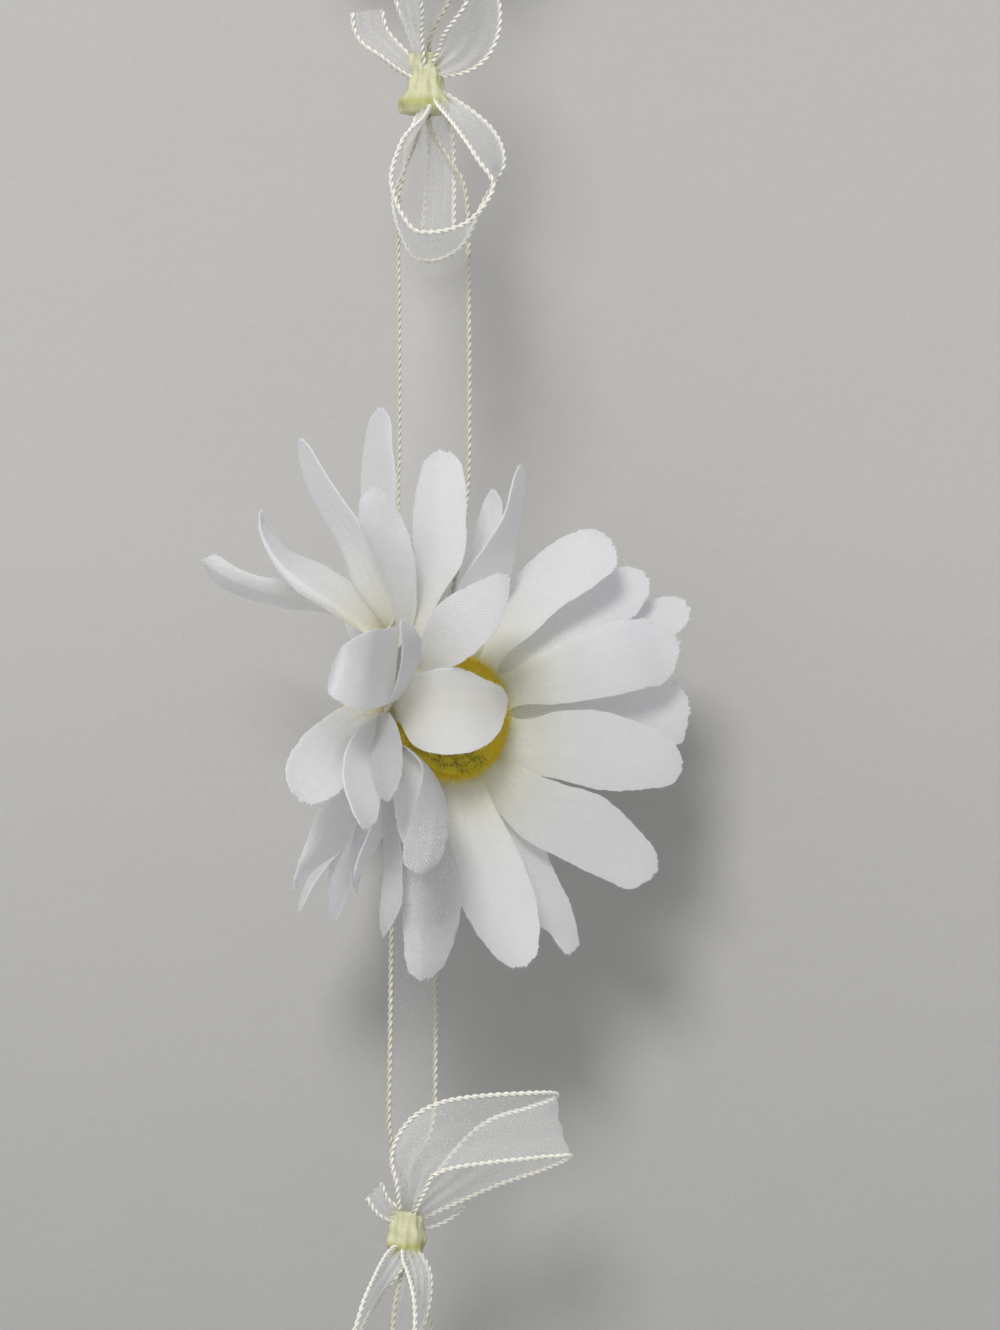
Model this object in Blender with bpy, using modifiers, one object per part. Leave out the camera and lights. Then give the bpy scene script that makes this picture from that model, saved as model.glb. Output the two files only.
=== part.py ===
"""Daisy garland: a sheer corded ribbon with three pairs of cloth daisies and four ribbon bows.

The strand hangs from a cord loop at its top. The origin is where the loop rests on its hook,
+Z is up and the front, the side with the photographed pair's open disc, faces -Y.
All lengths below are in millimetres and are turned into metres when a mesh is made.
"""

import math
import random

import bmesh
import bpy
from mathutils import Matrix, Vector

MM = 0.001
UP = Vector((0.0, 0.0, 1.0))

# The strand, from the hook downwards.
BOW_HEIGHTS = (-35.0, -198.0, -361.0, -524.0)
DAISY_HEIGHTS = (-123.0, -286.0, -449.0)
STRAND_END = -572.0
LOOP_SPREAD = 7.0
LOOP_BOTTOM = -28.6
LOOP_CORD_RADIUS = 0.7
LOOP_LEG = 0.86

# The binding of the loop's legs and the tail below it, as radius and height.
LOOP_BINDING = ((0.0, -34.9), (0.8, -34.9), (0.9, -30.6), (1.9, -29.5), (1.9, -27.8), (0.0, -27.6))

# Ribbon: half the distance between its edge cords, the cords and the cloth between them.
RIBBON_HALF = 5.0
CORD_RADIUS = 0.5
CLOTH_HALF = 0.3
PINCH_HALF = 0.6
PINCH_CLOTH_HALF = 0.7

# Knots: a bell that is narrow above and wide below, with a passage for the pinched ribbon.
KNOT_BELL = ((-4.4, 3.1), (-3.0, 3.8), (-0.8, 2.7), (2.2, 2.1), (4.4, 2.4))
SLIM_BELL = ((-4.6, 2.2), (-2.6, 2.7), (-0.4, 2.5), (2.2, 2.1))
KNOT_SIDES = 10
PASSAGE_HALF_WIDTH = 1.4
PASSAGE_HALF_DEPTH = 1.05

# Daisy heads.
PETAL_THICKNESS = 0.6
OPEN_OUTLINE = ((0.0, 0.22), (0.2, 0.5), (0.52, 1.0), (0.85, 0.84), (1.0, 0.34))
PLAIN_OUTLINE = ((0.0, 0.22), (0.2, 0.5), (0.66, 1.0), (1.0, 0.4))
PETAL_CUP = 0.12
LYING_RIM = 6.0
STANDING_RIM = 8.5
LYING_STEPS = (0.0, 0.2, 0.5, 0.78, 1.0)
STANDING_STEPS = (0.0, 0.17, 0.45, 0.75, 1.0)
ROOT_RADIUS = 2.7
LAYER_HEIGHTS = {"inner": 0.35, "outer": -0.65}
COLLAR_OUTER = 4.6
COLLAR_INNER = 1.5
COLLAR_TOP = 1.2
COLLAR_BOTTOM = -1.4
DISC_RADIUS = 8.0
DISC_SIDES = 12
PEG_RADIUS = 1.2
PEG_END = -2.9
BACKING_TOP = -1.7
BACKING_SOCKET = -3.1
BACKING_TOP_RADIUS = 3.8
BACKING_FOOT_RADIUS = 2.8
FOOT_CLEARANCE = 0.6

# Where each pair of heads sits: the ribbon's turn there, in degrees, and how far each head
# tips forward off the ribbon's own facing.
PAIR_TURNS = (-52.0, 60.0, 104.0)
PAIR_TIPS = (15.0, 30.0, 15.0)
PAIR_CENTRES = (0.3, 0.5, -0.6)

# Petals of the pair's left head that lie open at its back: layer, tip (x, y, z) measured from
# the ribbon at the pair's middle, width and roll.
BACK_LEFT = (
    ("inner", (-11.5, 23.0, 21.0), 11.0, 10),
    ("inner", (-11.0, 32.0, 8.0), 11.0, 10),
    ("inner", (-11.5, 33.0, -9.0), 11.0, 10),
    ("inner", (-11.5, 23.0, -23.0), 11.0, 10),
    ("outer", (-10.3, 16.0, -28.0), 10.0, -14),
    ("outer", (-8.0, 28.0, 22.0), 11.0, 8),
    ("outer", (-7.5, 36.0, -0.5), 11.0, 8),
    ("outer", (-8.0, 30.0, -20.0), 11.0, 8),
)

# Where the eye is that the photographed pair's petals are drawn from.
EYE = (11.4, -600.0, -281.0)

# Petals of the photographed pair that show. Layer, direction of the root, width, which edge lies
# further back and how much, where the petal's ridge runs and its height. Each row crosses the
# petal: its two edges, across and up from the pair's middle as the eye sees them at the ribbon's
# distance, and the middle's depth.
LYING_RIGHT = (
    ("inner", 97, 11.5, -0.6, -0.1, 0.3, (
        (-1.0, 8.6, 0.1, 8.6, -11.0),
        (-0.7, 14.3, 2.9, 14.7, -12.0),
        (-0.7, 20.0, 6.1, 20.0, -13.0),
        (-1.0, 25.7, 6.6, 26.4, -13.4),
        (-0.1, 31.7, 6.3, 31.7, -13.6),
        (1.4, 36.1, 5.3, 35.6, -13.6),
    )),
    ("inner", 72, 11.0, 0.9, 0.0, 0.15, (
        (4.3, 12.6, 9.6, 12.6, -8.5),
        (6.1, 17.4, 13.0, 18.3, -8.5),
        (9.3, 22.1, 13.7, 22.9, -8.0),
        (11.9, 26.3, 14.4, 26.9, -7.5),
        (13.1, 30.7, 14.9, 30.9, -7.0),
        (13.9, 33.7, 14.6, 33.6, -6.6),
    )),
    ("outer", 82, 9.5, -0.5, 0.0, 0.1, (
        (5.0, 14.3, 8.9, 14.3, -5.0),
        (7.1, 20.0, 11.0, 20.0, -4.8),
        (8.1, 25.0, 11.6, 25.0, -4.5),
        (9.1, 28.1, 11.6, 28.1, -4.4),
        (9.9, 30.3, 11.0, 30.1, -4.4),
    )),
    ("inner", 43, 11.5, -0.6, 0.0, 0.16, (
        (8.0, 8.3, 11.4, 5.4, -4.8),
        (11.4, 14.3, 16.0, 9.4, -3.0),
        (15.7, 19.7, 20.3, 13.4, -1.3),
        (20.7, 23.3, 24.9, 16.3, 0.2),
        (25.0, 24.4, 28.0, 19.1, 1.2),
        (27.3, 23.9, 28.7, 20.6, 1.5),
    )),
    ("outer", 33, 10.5, -0.4, 0.0, 0.12, (
        (11.4, 8.6, 14.0, 4.6, -1.6),
        (15.7, 12.3, 19.6, 7.1, 1.6),
        (21.4, 16.0, 26.0, 9.7, 4.8),
        (27.1, 18.7, 31.1, 12.6, 7.6),
        (31.6, 19.1, 33.6, 16.9, 9.0),
    )),
    ("outer", 22, 10.5, -0.4, 0.0, 0.1, (
        (17.1, 7.1, 20.3, 2.6, 1.4),
        (24.3, 10.7, 27.4, 5.4, 6.6),
        (31.4, 13.9, 33.9, 8.3, 10.4),
        (35.0, 14.7, 37.4, 10.1, 12.0),
        (38.0, 14.9, 39.3, 12.7, 13.0),
    )),
    ("inner", 9, 12.0, -0.2, 0.0, 0.16, (
        (12.6, 4.0, 13.3, -1.1, -4.4),
        (17.9, 6.9, 19.3, -0.6, -2.0),
        (23.6, 9.6, 25.7, 0.3, 1.2),
        (29.3, 11.4, 31.6, 1.6, 4.2),
        (34.3, 10.9, 35.6, 3.3, 6.8),
        (37.4, 8.9, 37.3, 6.4, 7.6),
    )),
    ("outer", -1, 11.0, -0.2, 0.0, 0.1, (
        (17.1, 0.3, 17.9, -2.6, 1.0),
        (25.7, 1.1, 27.1, -4.0, 7.0),
        (32.1, 1.9, 32.9, -5.4, 10.8),
        (36.4, 2.6, 37.4, -6.0, 12.6),
        (38.9, 1.4, 38.4, -4.3, 13.4),
    )),
    ("inner", -9, 12.0, -0.2, 0.0, 0.16, (
        (13.6, -2.6, 11.9, -9.4, -4.4),
        (20.0, -1.6, 19.7, -11.3, -1.2),
        (25.7, -1.6, 26.4, -12.9, 2.0),
        (31.4, -3.4, 32.1, -12.7, 4.8),
        (36.0, -5.9, 35.9, -12.0, 6.9),
        (38.0, -8.0, 37.4, -11.0, 7.8),
    )),
    ("inner", -36, 12.0, -0.3, 0.0, 0.16, (
        (14.0, -9.1, 10.0, -14.4, -4.6),
        (20.0, -11.9, 14.7, -19.7, -1.8),
        (25.7, -13.7, 20.1, -22.6, 1.2),
        (30.7, -18.1, 25.7, -25.3, 4.2),
        (33.7, -21.9, 30.4, -26.9, 6.2),
        (34.7, -24.1, 32.6, -26.3, 6.9),
    )),
    ("outer", -58, 10.5, -0.4, 0.0, 0.1, (
        (13.6, -12.1, 8.9, -14.3, -1.6),
        (16.7, -18.6, 10.7, -21.4, 0.0),
        (19.3, -24.9, 12.9, -28.1, 1.8),
        (21.6, -29.7, 16.1, -31.7, 3.4),
        (22.6, -34.3, 19.0, -33.9, 4.6),
        (22.6, -36.0, 20.4, -36.9, 5.0),
    )),
    ("inner", -73, 11.5, -0.5, 0.0, 0.16, (
        (3.9, -12.9, 9.6, -12.9, -6.2),
        (3.9, -19.3, 12.6, -18.9, -6.0),
        (5.0, -25.0, 15.1, -24.3, -5.4),
        (6.6, -30.7, 16.7, -29.3, -5.0),
        (10.0, -35.7, 16.9, -35.0, -4.6),
        (12.7, -38.7, 16.1, -38.1, -4.4),
    )),
    ("inner", -97, 11.0, 0.4, -0.35, 0.3, (
        (-2.6, -12.9, 2.9, -14.3, -8.6),
        (-3.1, -20.0, 4.6, -21.4, -9.6),
        (-2.6, -27.1, 5.9, -26.4, -10.6),
        (-2.4, -32.9, 5.4, -32.1, -11.3),
        (-1.9, -37.9, 3.9, -36.7, -11.9),
        (-0.9, -40.4, 2.3, -39.9, -12.1),
    )),
    ("outer", -80, 10.0, 0.2, 0.0, 0.1, (
        (2.0, -12.9, 6.6, -12.9, -2.8),
        (2.9, -18.6, 8.0, -18.6, 0.8),
        (3.7, -23.1, 8.0, -23.1, 4.6),
        (4.3, -26.6, 7.4, -26.6, 8.0),
        (4.9, -28.0, 6.7, -28.0, 9.4),
    )),
)
STANDING_RIGHT = (
    ("inner", 180, 11.5, 0.1, 0.0, -0.2, (
        (-3.4, -0.6, -3.0, -3.1, -15.6),
        (-2.3, 1.4, -0.9, -6.1, -19.4),
        (0.6, 3.3, 2.4, -7.6, -21.6),
        (5.1, 4.0, 7.3, -7.3, -20.6),
        (9.4, 2.4, 10.6, -4.7, -16.4),
        (12.4, 1.1, 12.4, -0.7, -12.2),
    )),
    ("inner", 134, 11.0, -0.4, 0.0, -0.1, (
        (-0.4, 5.1, 1.0, 3.7, -13.6),
        (0.6, 9.7, 5.1, 5.0, -18.4),
        (2.9, 13.9, 8.4, 7.3, -21.4),
        (7.1, 16.4, 10.9, 10.3, -22.6),
        (10.7, 17.9, 12.4, 14.4, -22.8),
        (12.6, 18.4, 13.0, 17.4, -22.6),
    )),
    ("outer", 148, 9.5, 0.8, 0.0, 0.1, (
        (-4.4, -0.4, -2.9, 0.1, -17.0),
        (-3.3, 2.7, -1.3, 2.9, -22.0),
        (-2.6, 6.3, 0.0, 6.7, -26.4),
        (-2.7, 9.1, -0.3, 9.4, -29.6),
        (-3.1, 11.6, -2.1, 11.6, -31.6),
    )),
    ("outer", 166, 11.0, 0.0, 0.0, -0.16, (
        (-3.1, 9.7, -4.0, -0.3, -17.0),
        (-5.1, 10.1, -6.3, -1.1, -26.0),
        (-7.7, 9.6, -10.0, -0.9, -32.6),
        (-10.3, 8.3, -12.4, 0.3, -33.8),
        (-12.4, 5.7, -13.4, 2.6, -30.0),
    )),
    ("inner", 206, 9.0, -0.8, 0.1, 0.3, (
        (-5.4, -1.9, -4.3, -1.9, -15.6),
        (-6.4, -5.4, -3.0, -4.7, -22.0),
        (-7.0, -9.3, -2.6, -7.9, -27.4),
        (-6.1, -12.9, -3.0, -11.6, -31.4),
        (-5.3, -14.6, -4.1, -14.6, -33.0),
    )),
    ("outer", 215, 10.5, 0.8, -0.2, -0.2, (
        (-6.4, -2.3, -5.0, -2.3, -13.0),
        (-9.7, -5.4, -6.0, -6.4, -19.0),
        (-11.0, -9.3, -6.0, -10.3, -23.6),
        (-10.7, -12.9, -5.7, -13.9, -26.8),
        (-9.4, -16.4, -6.4, -17.4, -28.8),
        (-8.4, -18.9, -7.4, -18.6, -29.6),
    )),
    ("inner", 240, 9.0, -0.5, 0.2, -0.15, (
        (-3.4, -7.1, -1.7, -6.9, -13.0),
        (-3.9, -10.9, 1.1, -10.6, -17.0),
        (-3.7, -15.1, 2.9, -15.1, -20.0),
        (-3.0, -19.1, 2.9, -19.7, -22.6),
        (-2.1, -21.7, 1.4, -21.7, -24.0),
    )),
    ("inner", 240, 8.0, 0.9, 0.3, 0.3, (
        (-3.0, -6.3, -1.6, -7.0, -13.4),
        (0.3, -9.7, 1.9, -10.6, -19.0),
        (-0.4, -13.9, 3.6, -14.3, -22.4),
        (-1.6, -18.0, 3.9, -17.7, -25.0),
        (-2.4, -21.1, 3.6, -20.4, -26.6),
        (-2.1, -23.7, 2.4, -23.6, -27.6),
        (-0.6, -25.3, 1.0, -25.1, -28.0),
    )),
)
STANDING_LEFT = (
    ("inner", 113, 10.0, 0.9, 0.1, 0.6, (
        (-9.7, 15.4, -8.3, 10.6, 6.0),
        (-17.1, 17.3, -14.0, 12.6, 8.0),
        (-22.6, 17.6, -20.4, 13.4, 8.4),
        (-26.4, 19.0, -25.6, 14.9, 8.4),
        (-29.4, 20.7, -29.3, 16.9, 8.2),
        (-31.4, 20.6, -31.0, 19.0, 8.0),
    )),
    ("inner", 85, 10.0, 0.8, -0.5, 0.5, (
        (-8.3, 9.7, -5.7, 11.4, -2.0),
        (-13.6, 13.1, -9.1, 16.0, -3.0),
        (-17.7, 15.7, -13.4, 19.0, -3.4),
        (-21.6, 20.7, -19.4, 21.9, -3.2),
        (-23.0, 24.6, -22.0, 25.4, -3.0),
        (-23.0, 26.9, -22.6, 27.4, -3.0),
    )),
    ("inner", 92, 11.0, -0.9, -0.8, 0.15, (
        (-5.6, 11.1, -3.4, 12.6, -4.0),
        (-8.9, 15.4, -5.0, 18.3, -4.6),
        (-11.4, 21.7, -7.7, 23.9, -4.8),
        (-14.0, 26.1, -10.7, 28.1, -4.6),
        (-16.3, 30.7, -13.7, 32.6, -4.2),
        (-17.3, 34.6, -15.3, 35.3, -4.0),
        (-17.6, 37.4, -16.7, 37.7, -4.0),
    )),
    ("outer", 96, 10.5, -0.9, 0.2, 0.12, (
        (-6.9, 14.3, -2.6, 14.3, 2.6),
        (-8.0, 22.9, -2.4, 22.9, 3.8),
        (-8.4, 29.3, -3.1, 29.3, 4.8),
        (-8.0, 35.7, -4.0, 35.7, 5.6),
        (-7.1, 40.3, -4.4, 40.3, 6.0),
        (-6.3, 42.1, -5.0, 42.1, 6.0),
    )),
    ("outer", 55, 10.0, -0.5, -0.6, 0.2, (
        (-3.4, 11.1, -1.1, 10.6, -9.5),
        (-4.9, 16.9, -0.6, 17.1, -13.0),
        (-7.1, 21.7, -1.1, 21.4, -15.6),
        (-8.7, 25.7, -2.7, 26.1, -17.6),
        (-8.3, 29.0, -4.6, 29.0, -18.8),
        (-7.0, 30.7, -5.7, 30.7, -19.2),
    )),
    ("inner", -21, 11.0, 0.3, 0.0, -0.06, (
        (-10.0, -0.6, -6.6, -4.3, -13.0),
        (-14.0, -2.9, -10.0, -8.1, -18.0),
        (-17.1, -5.6, -10.7, -12.1, -22.4),
        (-19.1, -9.3, -13.4, -14.3, -25.4),
        (-19.0, -13.0, -16.7, -15.4, -27.0),
    )),
    ("inner", -76, 10.5, 0.8, -0.3, 0.35, (
        (-10.7, -10.0, -7.4, -12.9, -7.0),
        (-14.0, -14.3, -9.1, -16.9, -7.8),
        (-16.3, -20.3, -11.4, -21.4, -8.0),
        (-17.6, -24.0, -15.3, -24.3, -8.0),
        (-18.3, -27.0, -17.6, -27.1, -8.0),
    )),
    ("outer", -86, 9.5, -0.9, -0.2, 0.2, (
        (-10.0, -12.9, -7.7, -14.3, 3.0),
        (-12.9, -19.3, -10.7, -20.7, 6.0),
        (-15.1, -23.7, -13.6, -24.0, 7.4),
        (-16.7, -27.1, -15.7, -27.1, 8.0),
        (-17.6, -30.1, -17.1, -30.3, 8.4),
    )),
    ("outer", -80, 10.0, -0.5, 0.1, 0.2, (
        (-8.3, -11.4, -6.0, -12.1, 0.0),
        (-10.7, -16.4, -8.9, -16.9, 2.4),
        (-12.7, -22.1, -10.1, -22.1, 4.0),
        (-13.0, -27.9, -10.4, -27.9, 4.8),
        (-12.7, -32.0, -11.9, -31.7, 5.0),
    )),
    ("outer", -68, 9.0, 0.9, 0.0, 0.2, (
        (-6.0, -12.9, -4.3, -13.6, -5.0),
        (-7.4, -18.9, -5.4, -19.4, -8.0),
        (-9.0, -22.9, -7.4, -23.1, -10.0),
        (-9.6, -25.6, -9.0, -25.7, -11.0),
    )),
    ("outer", -60, 9.0, -0.4, -0.3, 0.2, (
        (-4.6, -10.0, -2.6, -11.4, -9.0),
        (-5.3, -17.9, -2.9, -18.9, -12.4),
        (-5.1, -24.3, -2.6, -25.7, -14.6),
        (-5.7, -30.0, -2.9, -29.7, -15.8),
        (-5.6, -33.9, -5.1, -33.9, -16.2),
    )),
)

# A bow whose second loop hangs in front of the ribbon. Each length of ribbon is a run of
# points (x, y, z) from the knot's middle, the way its width points there and its half width.
HANGING_BOW = (
    (
        ((0.0, -1.2, -3.4), (-0.4, 0.9, 0.1), 1.0),
        ((-1.0, -5.2, -6.8), (-0.2, 1.0, 0.0), 2.8),
        ((-2.9, -7.7, -11.0), (0.1, 1.0, -0.1), 4.3),
        ((-4.4, -8.6, -17.0), (0.0, 1.0, -0.16), 4.8),
        ((-1.0, -9.0, -23.8), (0.0, 1.0, -0.33), 4.9),
        ((5.2, -8.8, -22.6), (-0.1, 1.0, -0.28), 4.9),
        ((9.2, -8.0, -16.4), (-0.1, 1.0, 0.0), 4.8),
        ((9.0, -7.6, -11.6), (0.38, 0.91, 0.12), 4.6),
        ((6.8, -5.0, -6.6), (0.62, 0.77, 0.05), 4.0),
        ((1.4, -0.6, -1.2), (0.5, 0.6, 0.3), 1.0),
    ),
    (
        ((-0.4, -0.9, 2.4), (-0.3, 0.9, 0.0), 0.9),
        ((-1.6, -3.2, 7.4), (-0.4, 0.9, 0.0), 2.4),
        ((-2.5, -6.4, 12.4), (-0.4, 0.9, 0.0), 4.4),
        ((-2.2, -8.2, 19.0), (-0.4, 0.9, 0.0), 4.8),
        ((2.2, -8.6, 23.6), (-0.1, 1.0, 0.1), 4.9),
        ((7.2, -8.2, 19.4), (0.3, 0.95, 0.1), 4.8),
        ((8.2, -7.0, 11.6), (0.35, 0.9, -0.15), 4.7),
        ((5.8, -3.6, 4.8), (0.6, 0.6, -0.5), 3.8),
        ((1.4, -0.8, 1.8), (0.4, 0.4, -0.8), 1.0),
    ),
    (
        ((0.8, 1.2, -2.4), (0.9, 0.3, 0.0), 1.0),
        ((2.2, 3.0, -8.0), (0.9, -0.3, 0.0), 1.8),
        ((1.8, 3.2, -20.5), (0.9, -0.3, 0.1), 2.4),
    ),
    (
        ((-1.2, -0.4, 1.4), (0.3, 0.4, 0.9), 1.0),
        ((-5.0, -1.8, 4.6), (0.46, 0.79, 0.4), 2.7),
        ((-7.6, -2.6, 7.2), (0.6, 0.7, 0.35), 3.2),
        ((-8.2, -3.0, 10.0), (0.6, 0.7, 0.35), 3.2),
    ),
)

# A bow with one loop out to its side and one hanging.
SIDE_BOW = (
    (
        ((0.2, -1.2, 2.0), (-0.9, 0.3, 0.1), 1.0),
        ((0.8, -4.2, 6.0), (-0.95, 0.3, 0.1), 2.2),
        ((1.7, -5.8, 10.4), (-0.75, 0.2, 0.6), 3.8),
        ((6.4, -6.3, 13.6), (-0.2, 0.1, 0.98), 4.7),
        ((18.4, -5.4, 14.8), (0.0, 0.0, 1.0), 4.6),
        ((22.2, -2.0, 14.2), (-0.25, 0.0, 0.97), 4.3),
        ((18.6, 1.6, 12.2), (-0.1, 0.0, 1.0), 4.5),
        ((12.0, 3.2, 9.4), (-0.2, 0.1, 0.97), 4.3),
        ((1.0, 1.2, 1.2), (-0.1, 0.2, 0.9), 1.0),
    ),
    (
        ((-0.2, -1.4, -3.2), (0.8, 0.5, 0.0), 1.0),
        ((-3.2, -5.0, -7.0), (0.4, 0.9, 0.0), 2.8),
        ((-6.0, -9.0, -12.0), (0.1, 1.0, -0.1), 4.6),
        ((-7.8, -11.4, -19.0), (0.0, 1.0, -0.15), 4.9),
        ((-4.6, -11.8, -25.0), (0.0, 1.0, -0.2), 4.9),
        ((0.4, -11.4, -21.0), (0.0, 1.0, -0.15), 4.9),
        ((2.0, -9.0, -12.6), (0.1, 1.0, -0.1), 4.6),
        ((2.0, -5.2, -6.6), (0.4, 0.9, 0.0), 3.0),
        ((0.6, -1.4, -3.0), (0.8, 0.5, 0.0), 1.0),
    ),
    (
        ((1.2, 1.2, 0.0), (0.0, 0.4, 0.9), 1.0),
        ((3.8, 4.0, 1.2), (-0.2, 0.4, 0.9), 2.0),
        ((7.0, 5.2, 3.6), (-0.4, 0.3, 0.9), 2.4),
    ),
    (
        ((-1.2, -0.4, 1.4), (0.3, 0.4, 0.9), 1.0),
        ((-3.2, -1.6, 2.8), (0.4, 0.6, 0.7), 1.5),
        ((-4.4, -2.6, 5.2), (0.6, 0.7, 0.3), 1.8),
    ),
)
BOWS = (
    (SIDE_BOW, KNOT_BELL, 0.3, 170.0),
    (HANGING_BOW, KNOT_BELL, 0.7, 0.0),
    (SIDE_BOW, SLIM_BELL, -2.1, 0.0),
    (HANGING_BOW, KNOT_BELL, -0.4, 50.0),
)

# The ribbon's run: height, sideways offset, turn in degrees and how open it is, from 0 where
# a knot pinches it to 1 where it lies flat.
RIBBON_RUN = (
    (-35.3, 0.3, -10, 0.0),
    (-40.5, 0.3, -10, 0.0),
    (-47.0, 0.3, -12, 0.65),
    (-54.0, 0.3, -14, 1.0),
    (-80.0, 0.3, -24, 1.0),
    (-104.0, 0.3, -44, 1.0),
    (-116.0, 0.3, -52, 1.0),
    (-130.0, 0.3, -52, 1.0),
    (-144.0, 0.4, -40, 1.0),
    (-166.0, 0.5, -16, 1.0),
    (-183.0, 0.6, -4, 0.9),
    (-192.0, 0.7, 0, 0.0),
    (-203.5, 0.7, 0, 0.0),
    (-210.0, 1.2, 0, 0.65),
    (-217.0, 1.8, 0, 1.0),
    (-246.0, 2.0, 0, 1.0),
    (-258.0, 1.7, 14, 1.0),
    (-268.0, 1.1, 38, 1.0),
    (-278.0, 0.5, 60, 1.0),
    (-294.0, 0.5, 60, 1.0),
    (-304.0, -0.6, 56, 1.0),
    (-318.0, -0.9, 52, 1.0),
    (-344.0, -1.2, 50, 1.0),
    (-351.0, -1.9, 48, 0.5),
    (-355.5, -2.1, 46, 0.0),
    (-366.5, -2.1, 46, 0.0),
    (-373.0, -1.6, 52, 0.65),
    (-380.0, -1.0, 58, 1.0),
    (-405.0, -0.7, 80, 1.0),
    (-428.0, -0.6, 100, 1.0),
    (-441.0, -0.6, 104, 1.0),
    (-457.0, -0.6, 104, 1.0),
    (-472.0, -0.5, 92, 1.0),
    (-494.0, -0.4, 66, 1.0),
    (-509.0, -0.4, 56, 0.9),
    (-518.0, -0.4, 50, 0.0),
    (-529.5, -0.4, 50, 0.0),
    (-537.0, -0.4, 50, 0.7),
    (-546.0, -0.4, 50, 1.0),
    (STRAND_END, -0.2, 46, 1.0),
)


def clear_scene():
    for item in list(bpy.data.objects):
        bpy.data.objects.remove(item, do_unlink=True)


def make_material(name, color, roughness, alpha=1.0):
    made = bpy.data.materials.new(name)
    made.use_nodes = True
    shader = made.node_tree.nodes["Principled BSDF"]
    shader.inputs["Base Color"].default_value = (*color, 1.0)
    shader.inputs["Roughness"].default_value = roughness
    shader.inputs["Alpha"].default_value = alpha
    return made


def object_from(name, points, faces, collection, material=None):
    """An object made of points in millimetres."""
    mesh = bpy.data.meshes.new(name)
    mesh.from_pydata([tuple(Vector(point) * MM) for point in points], [], faces)
    mesh.validate()
    made = bpy.data.objects.new(name, mesh)
    if material:
        mesh.materials.append(material)
    collection.objects.link(made)
    return made


def finish(item, angle):
    """Smooth shading that keeps edges sharper than the angle."""
    item.data.shade_smooth()
    item.data.set_sharp_from_angle(angle=math.radians(angle))


def evaluated_mesh(item):
    bpy.context.view_layer.update()
    graph = bpy.context.evaluated_depsgraph_get()
    return bpy.data.meshes.new_from_object(item.evaluated_get(graph))


def remove_collection(collection):
    for item in list(collection.objects):
        bpy.data.objects.remove(item, do_unlink=True)
    bpy.data.collections.remove(collection)


def joined(item, repeats):
    """Unites the object with every object of the collection, and removes the collection."""
    union = item.modifiers.new("join", "BOOLEAN")
    union.operation = "UNION"
    union.operand_type = "COLLECTION"
    union.collection = repeats
    union.solver = "MANIFOLD"
    mesh = evaluated_mesh(item)
    item.modifiers.clear()
    item.data = mesh
    remove_collection(repeats)


def cut(item, cutter):
    """Takes the cutter's shape out of the object, and removes the cutter."""
    difference = item.modifiers.new("cut", "BOOLEAN")
    difference.operation = "DIFFERENCE"
    difference.object = cutter
    difference.solver = "MANIFOLD"
    mesh = evaluated_mesh(item)
    item.modifiers.clear()
    item.data = mesh
    bpy.data.objects.remove(cutter, do_unlink=True)


def only_material(item, material):
    item.data.materials.clear()
    item.data.materials.append(material)
    item.data.polygons.foreach_set("material_index", [0] * len(item.data.polygons))


def new_group(name):
    group = bpy.data.collections.new(name)
    bpy.context.scene.collection.children.link(group)
    return group


def lathe(name, profile, sides, closed, collection):
    """A turned solid about its local Z. An open profile starts and ends on the axis."""
    edges = [(i, i + 1) for i in range(len(profile) - 1)]
    if closed:
        edges.append((len(profile) - 1, 0))
    mesh = bpy.data.meshes.new(name)
    mesh.from_pydata([(radius * MM, 0.0, height * MM) for radius, height in profile], edges, [])
    made = bpy.data.objects.new(name, mesh)
    collection.objects.link(made)
    screw = made.modifiers.new("turn", "SCREW")
    screw.steps = sides
    screw.render_steps = sides
    screw.use_merge_vertices = True
    screw.merge_threshold = 0.000005
    turned = evaluated_mesh(made)
    made.modifiers.clear()
    made.data = turned
    face_out(turned)
    return made


def face_out(mesh):
    shell = bmesh.new()
    shell.from_mesh(mesh)
    bmesh.ops.recalc_face_normals(shell, faces=shell.faces)
    shell.to_mesh(mesh)
    shell.free()


def split_faces(mesh):
    """Welds a converted curve's caps, turns its faces out and splits them into triangles."""
    shell = bmesh.new()
    shell.from_mesh(mesh)
    bmesh.ops.remove_doubles(shell, verts=shell.verts, dist=0.000005)
    bmesh.ops.triangulate(shell, faces=shell.faces)
    bmesh.ops.recalc_face_normals(shell, faces=shell.faces)
    shell.to_mesh(mesh)
    shell.free()


def connected_faces(face, seen):
    """The face and every face it hangs together with."""
    found = []
    waiting = [face]
    seen.add(face)
    while waiting:
        here = waiting.pop()
        found.append(here)
        for edge in here.edges:
            for other in edge.link_faces:
                if other not in seen:
                    seen.add(other)
                    waiting.append(other)
    return found


def enclosed_volume(faces):
    total = 0.0
    for face in faces:
        corners = [vertex.co for vertex in face.verts]
        for second, third in zip(corners[1:], corners[2:]):
            total += corners[0].dot(second.cross(third))
    return total / 6


def fill_voids(mesh):
    """Makes the body solid where small hollows stay shut between crossing petals."""
    shell = bmesh.new()
    shell.from_mesh(mesh)
    seen = set()
    hollow = []
    for face in shell.faces:
        if face not in seen:
            piece = connected_faces(face, seen)
            if enclosed_volume(piece) < 0:
                hollow += piece
    bmesh.ops.delete(shell, geom=hollow, context="FACES")
    shell.to_mesh(mesh)
    shell.free()


# Blades: thin strips of cloth, swept along a run of frames.


class Frame:
    """One section of a strip: its middle, its width direction, its face and its size."""

    def __init__(self, middle, across, face, half):
        self.middle = middle
        self.across = across
        self.face = face
        self.half = half


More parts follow.
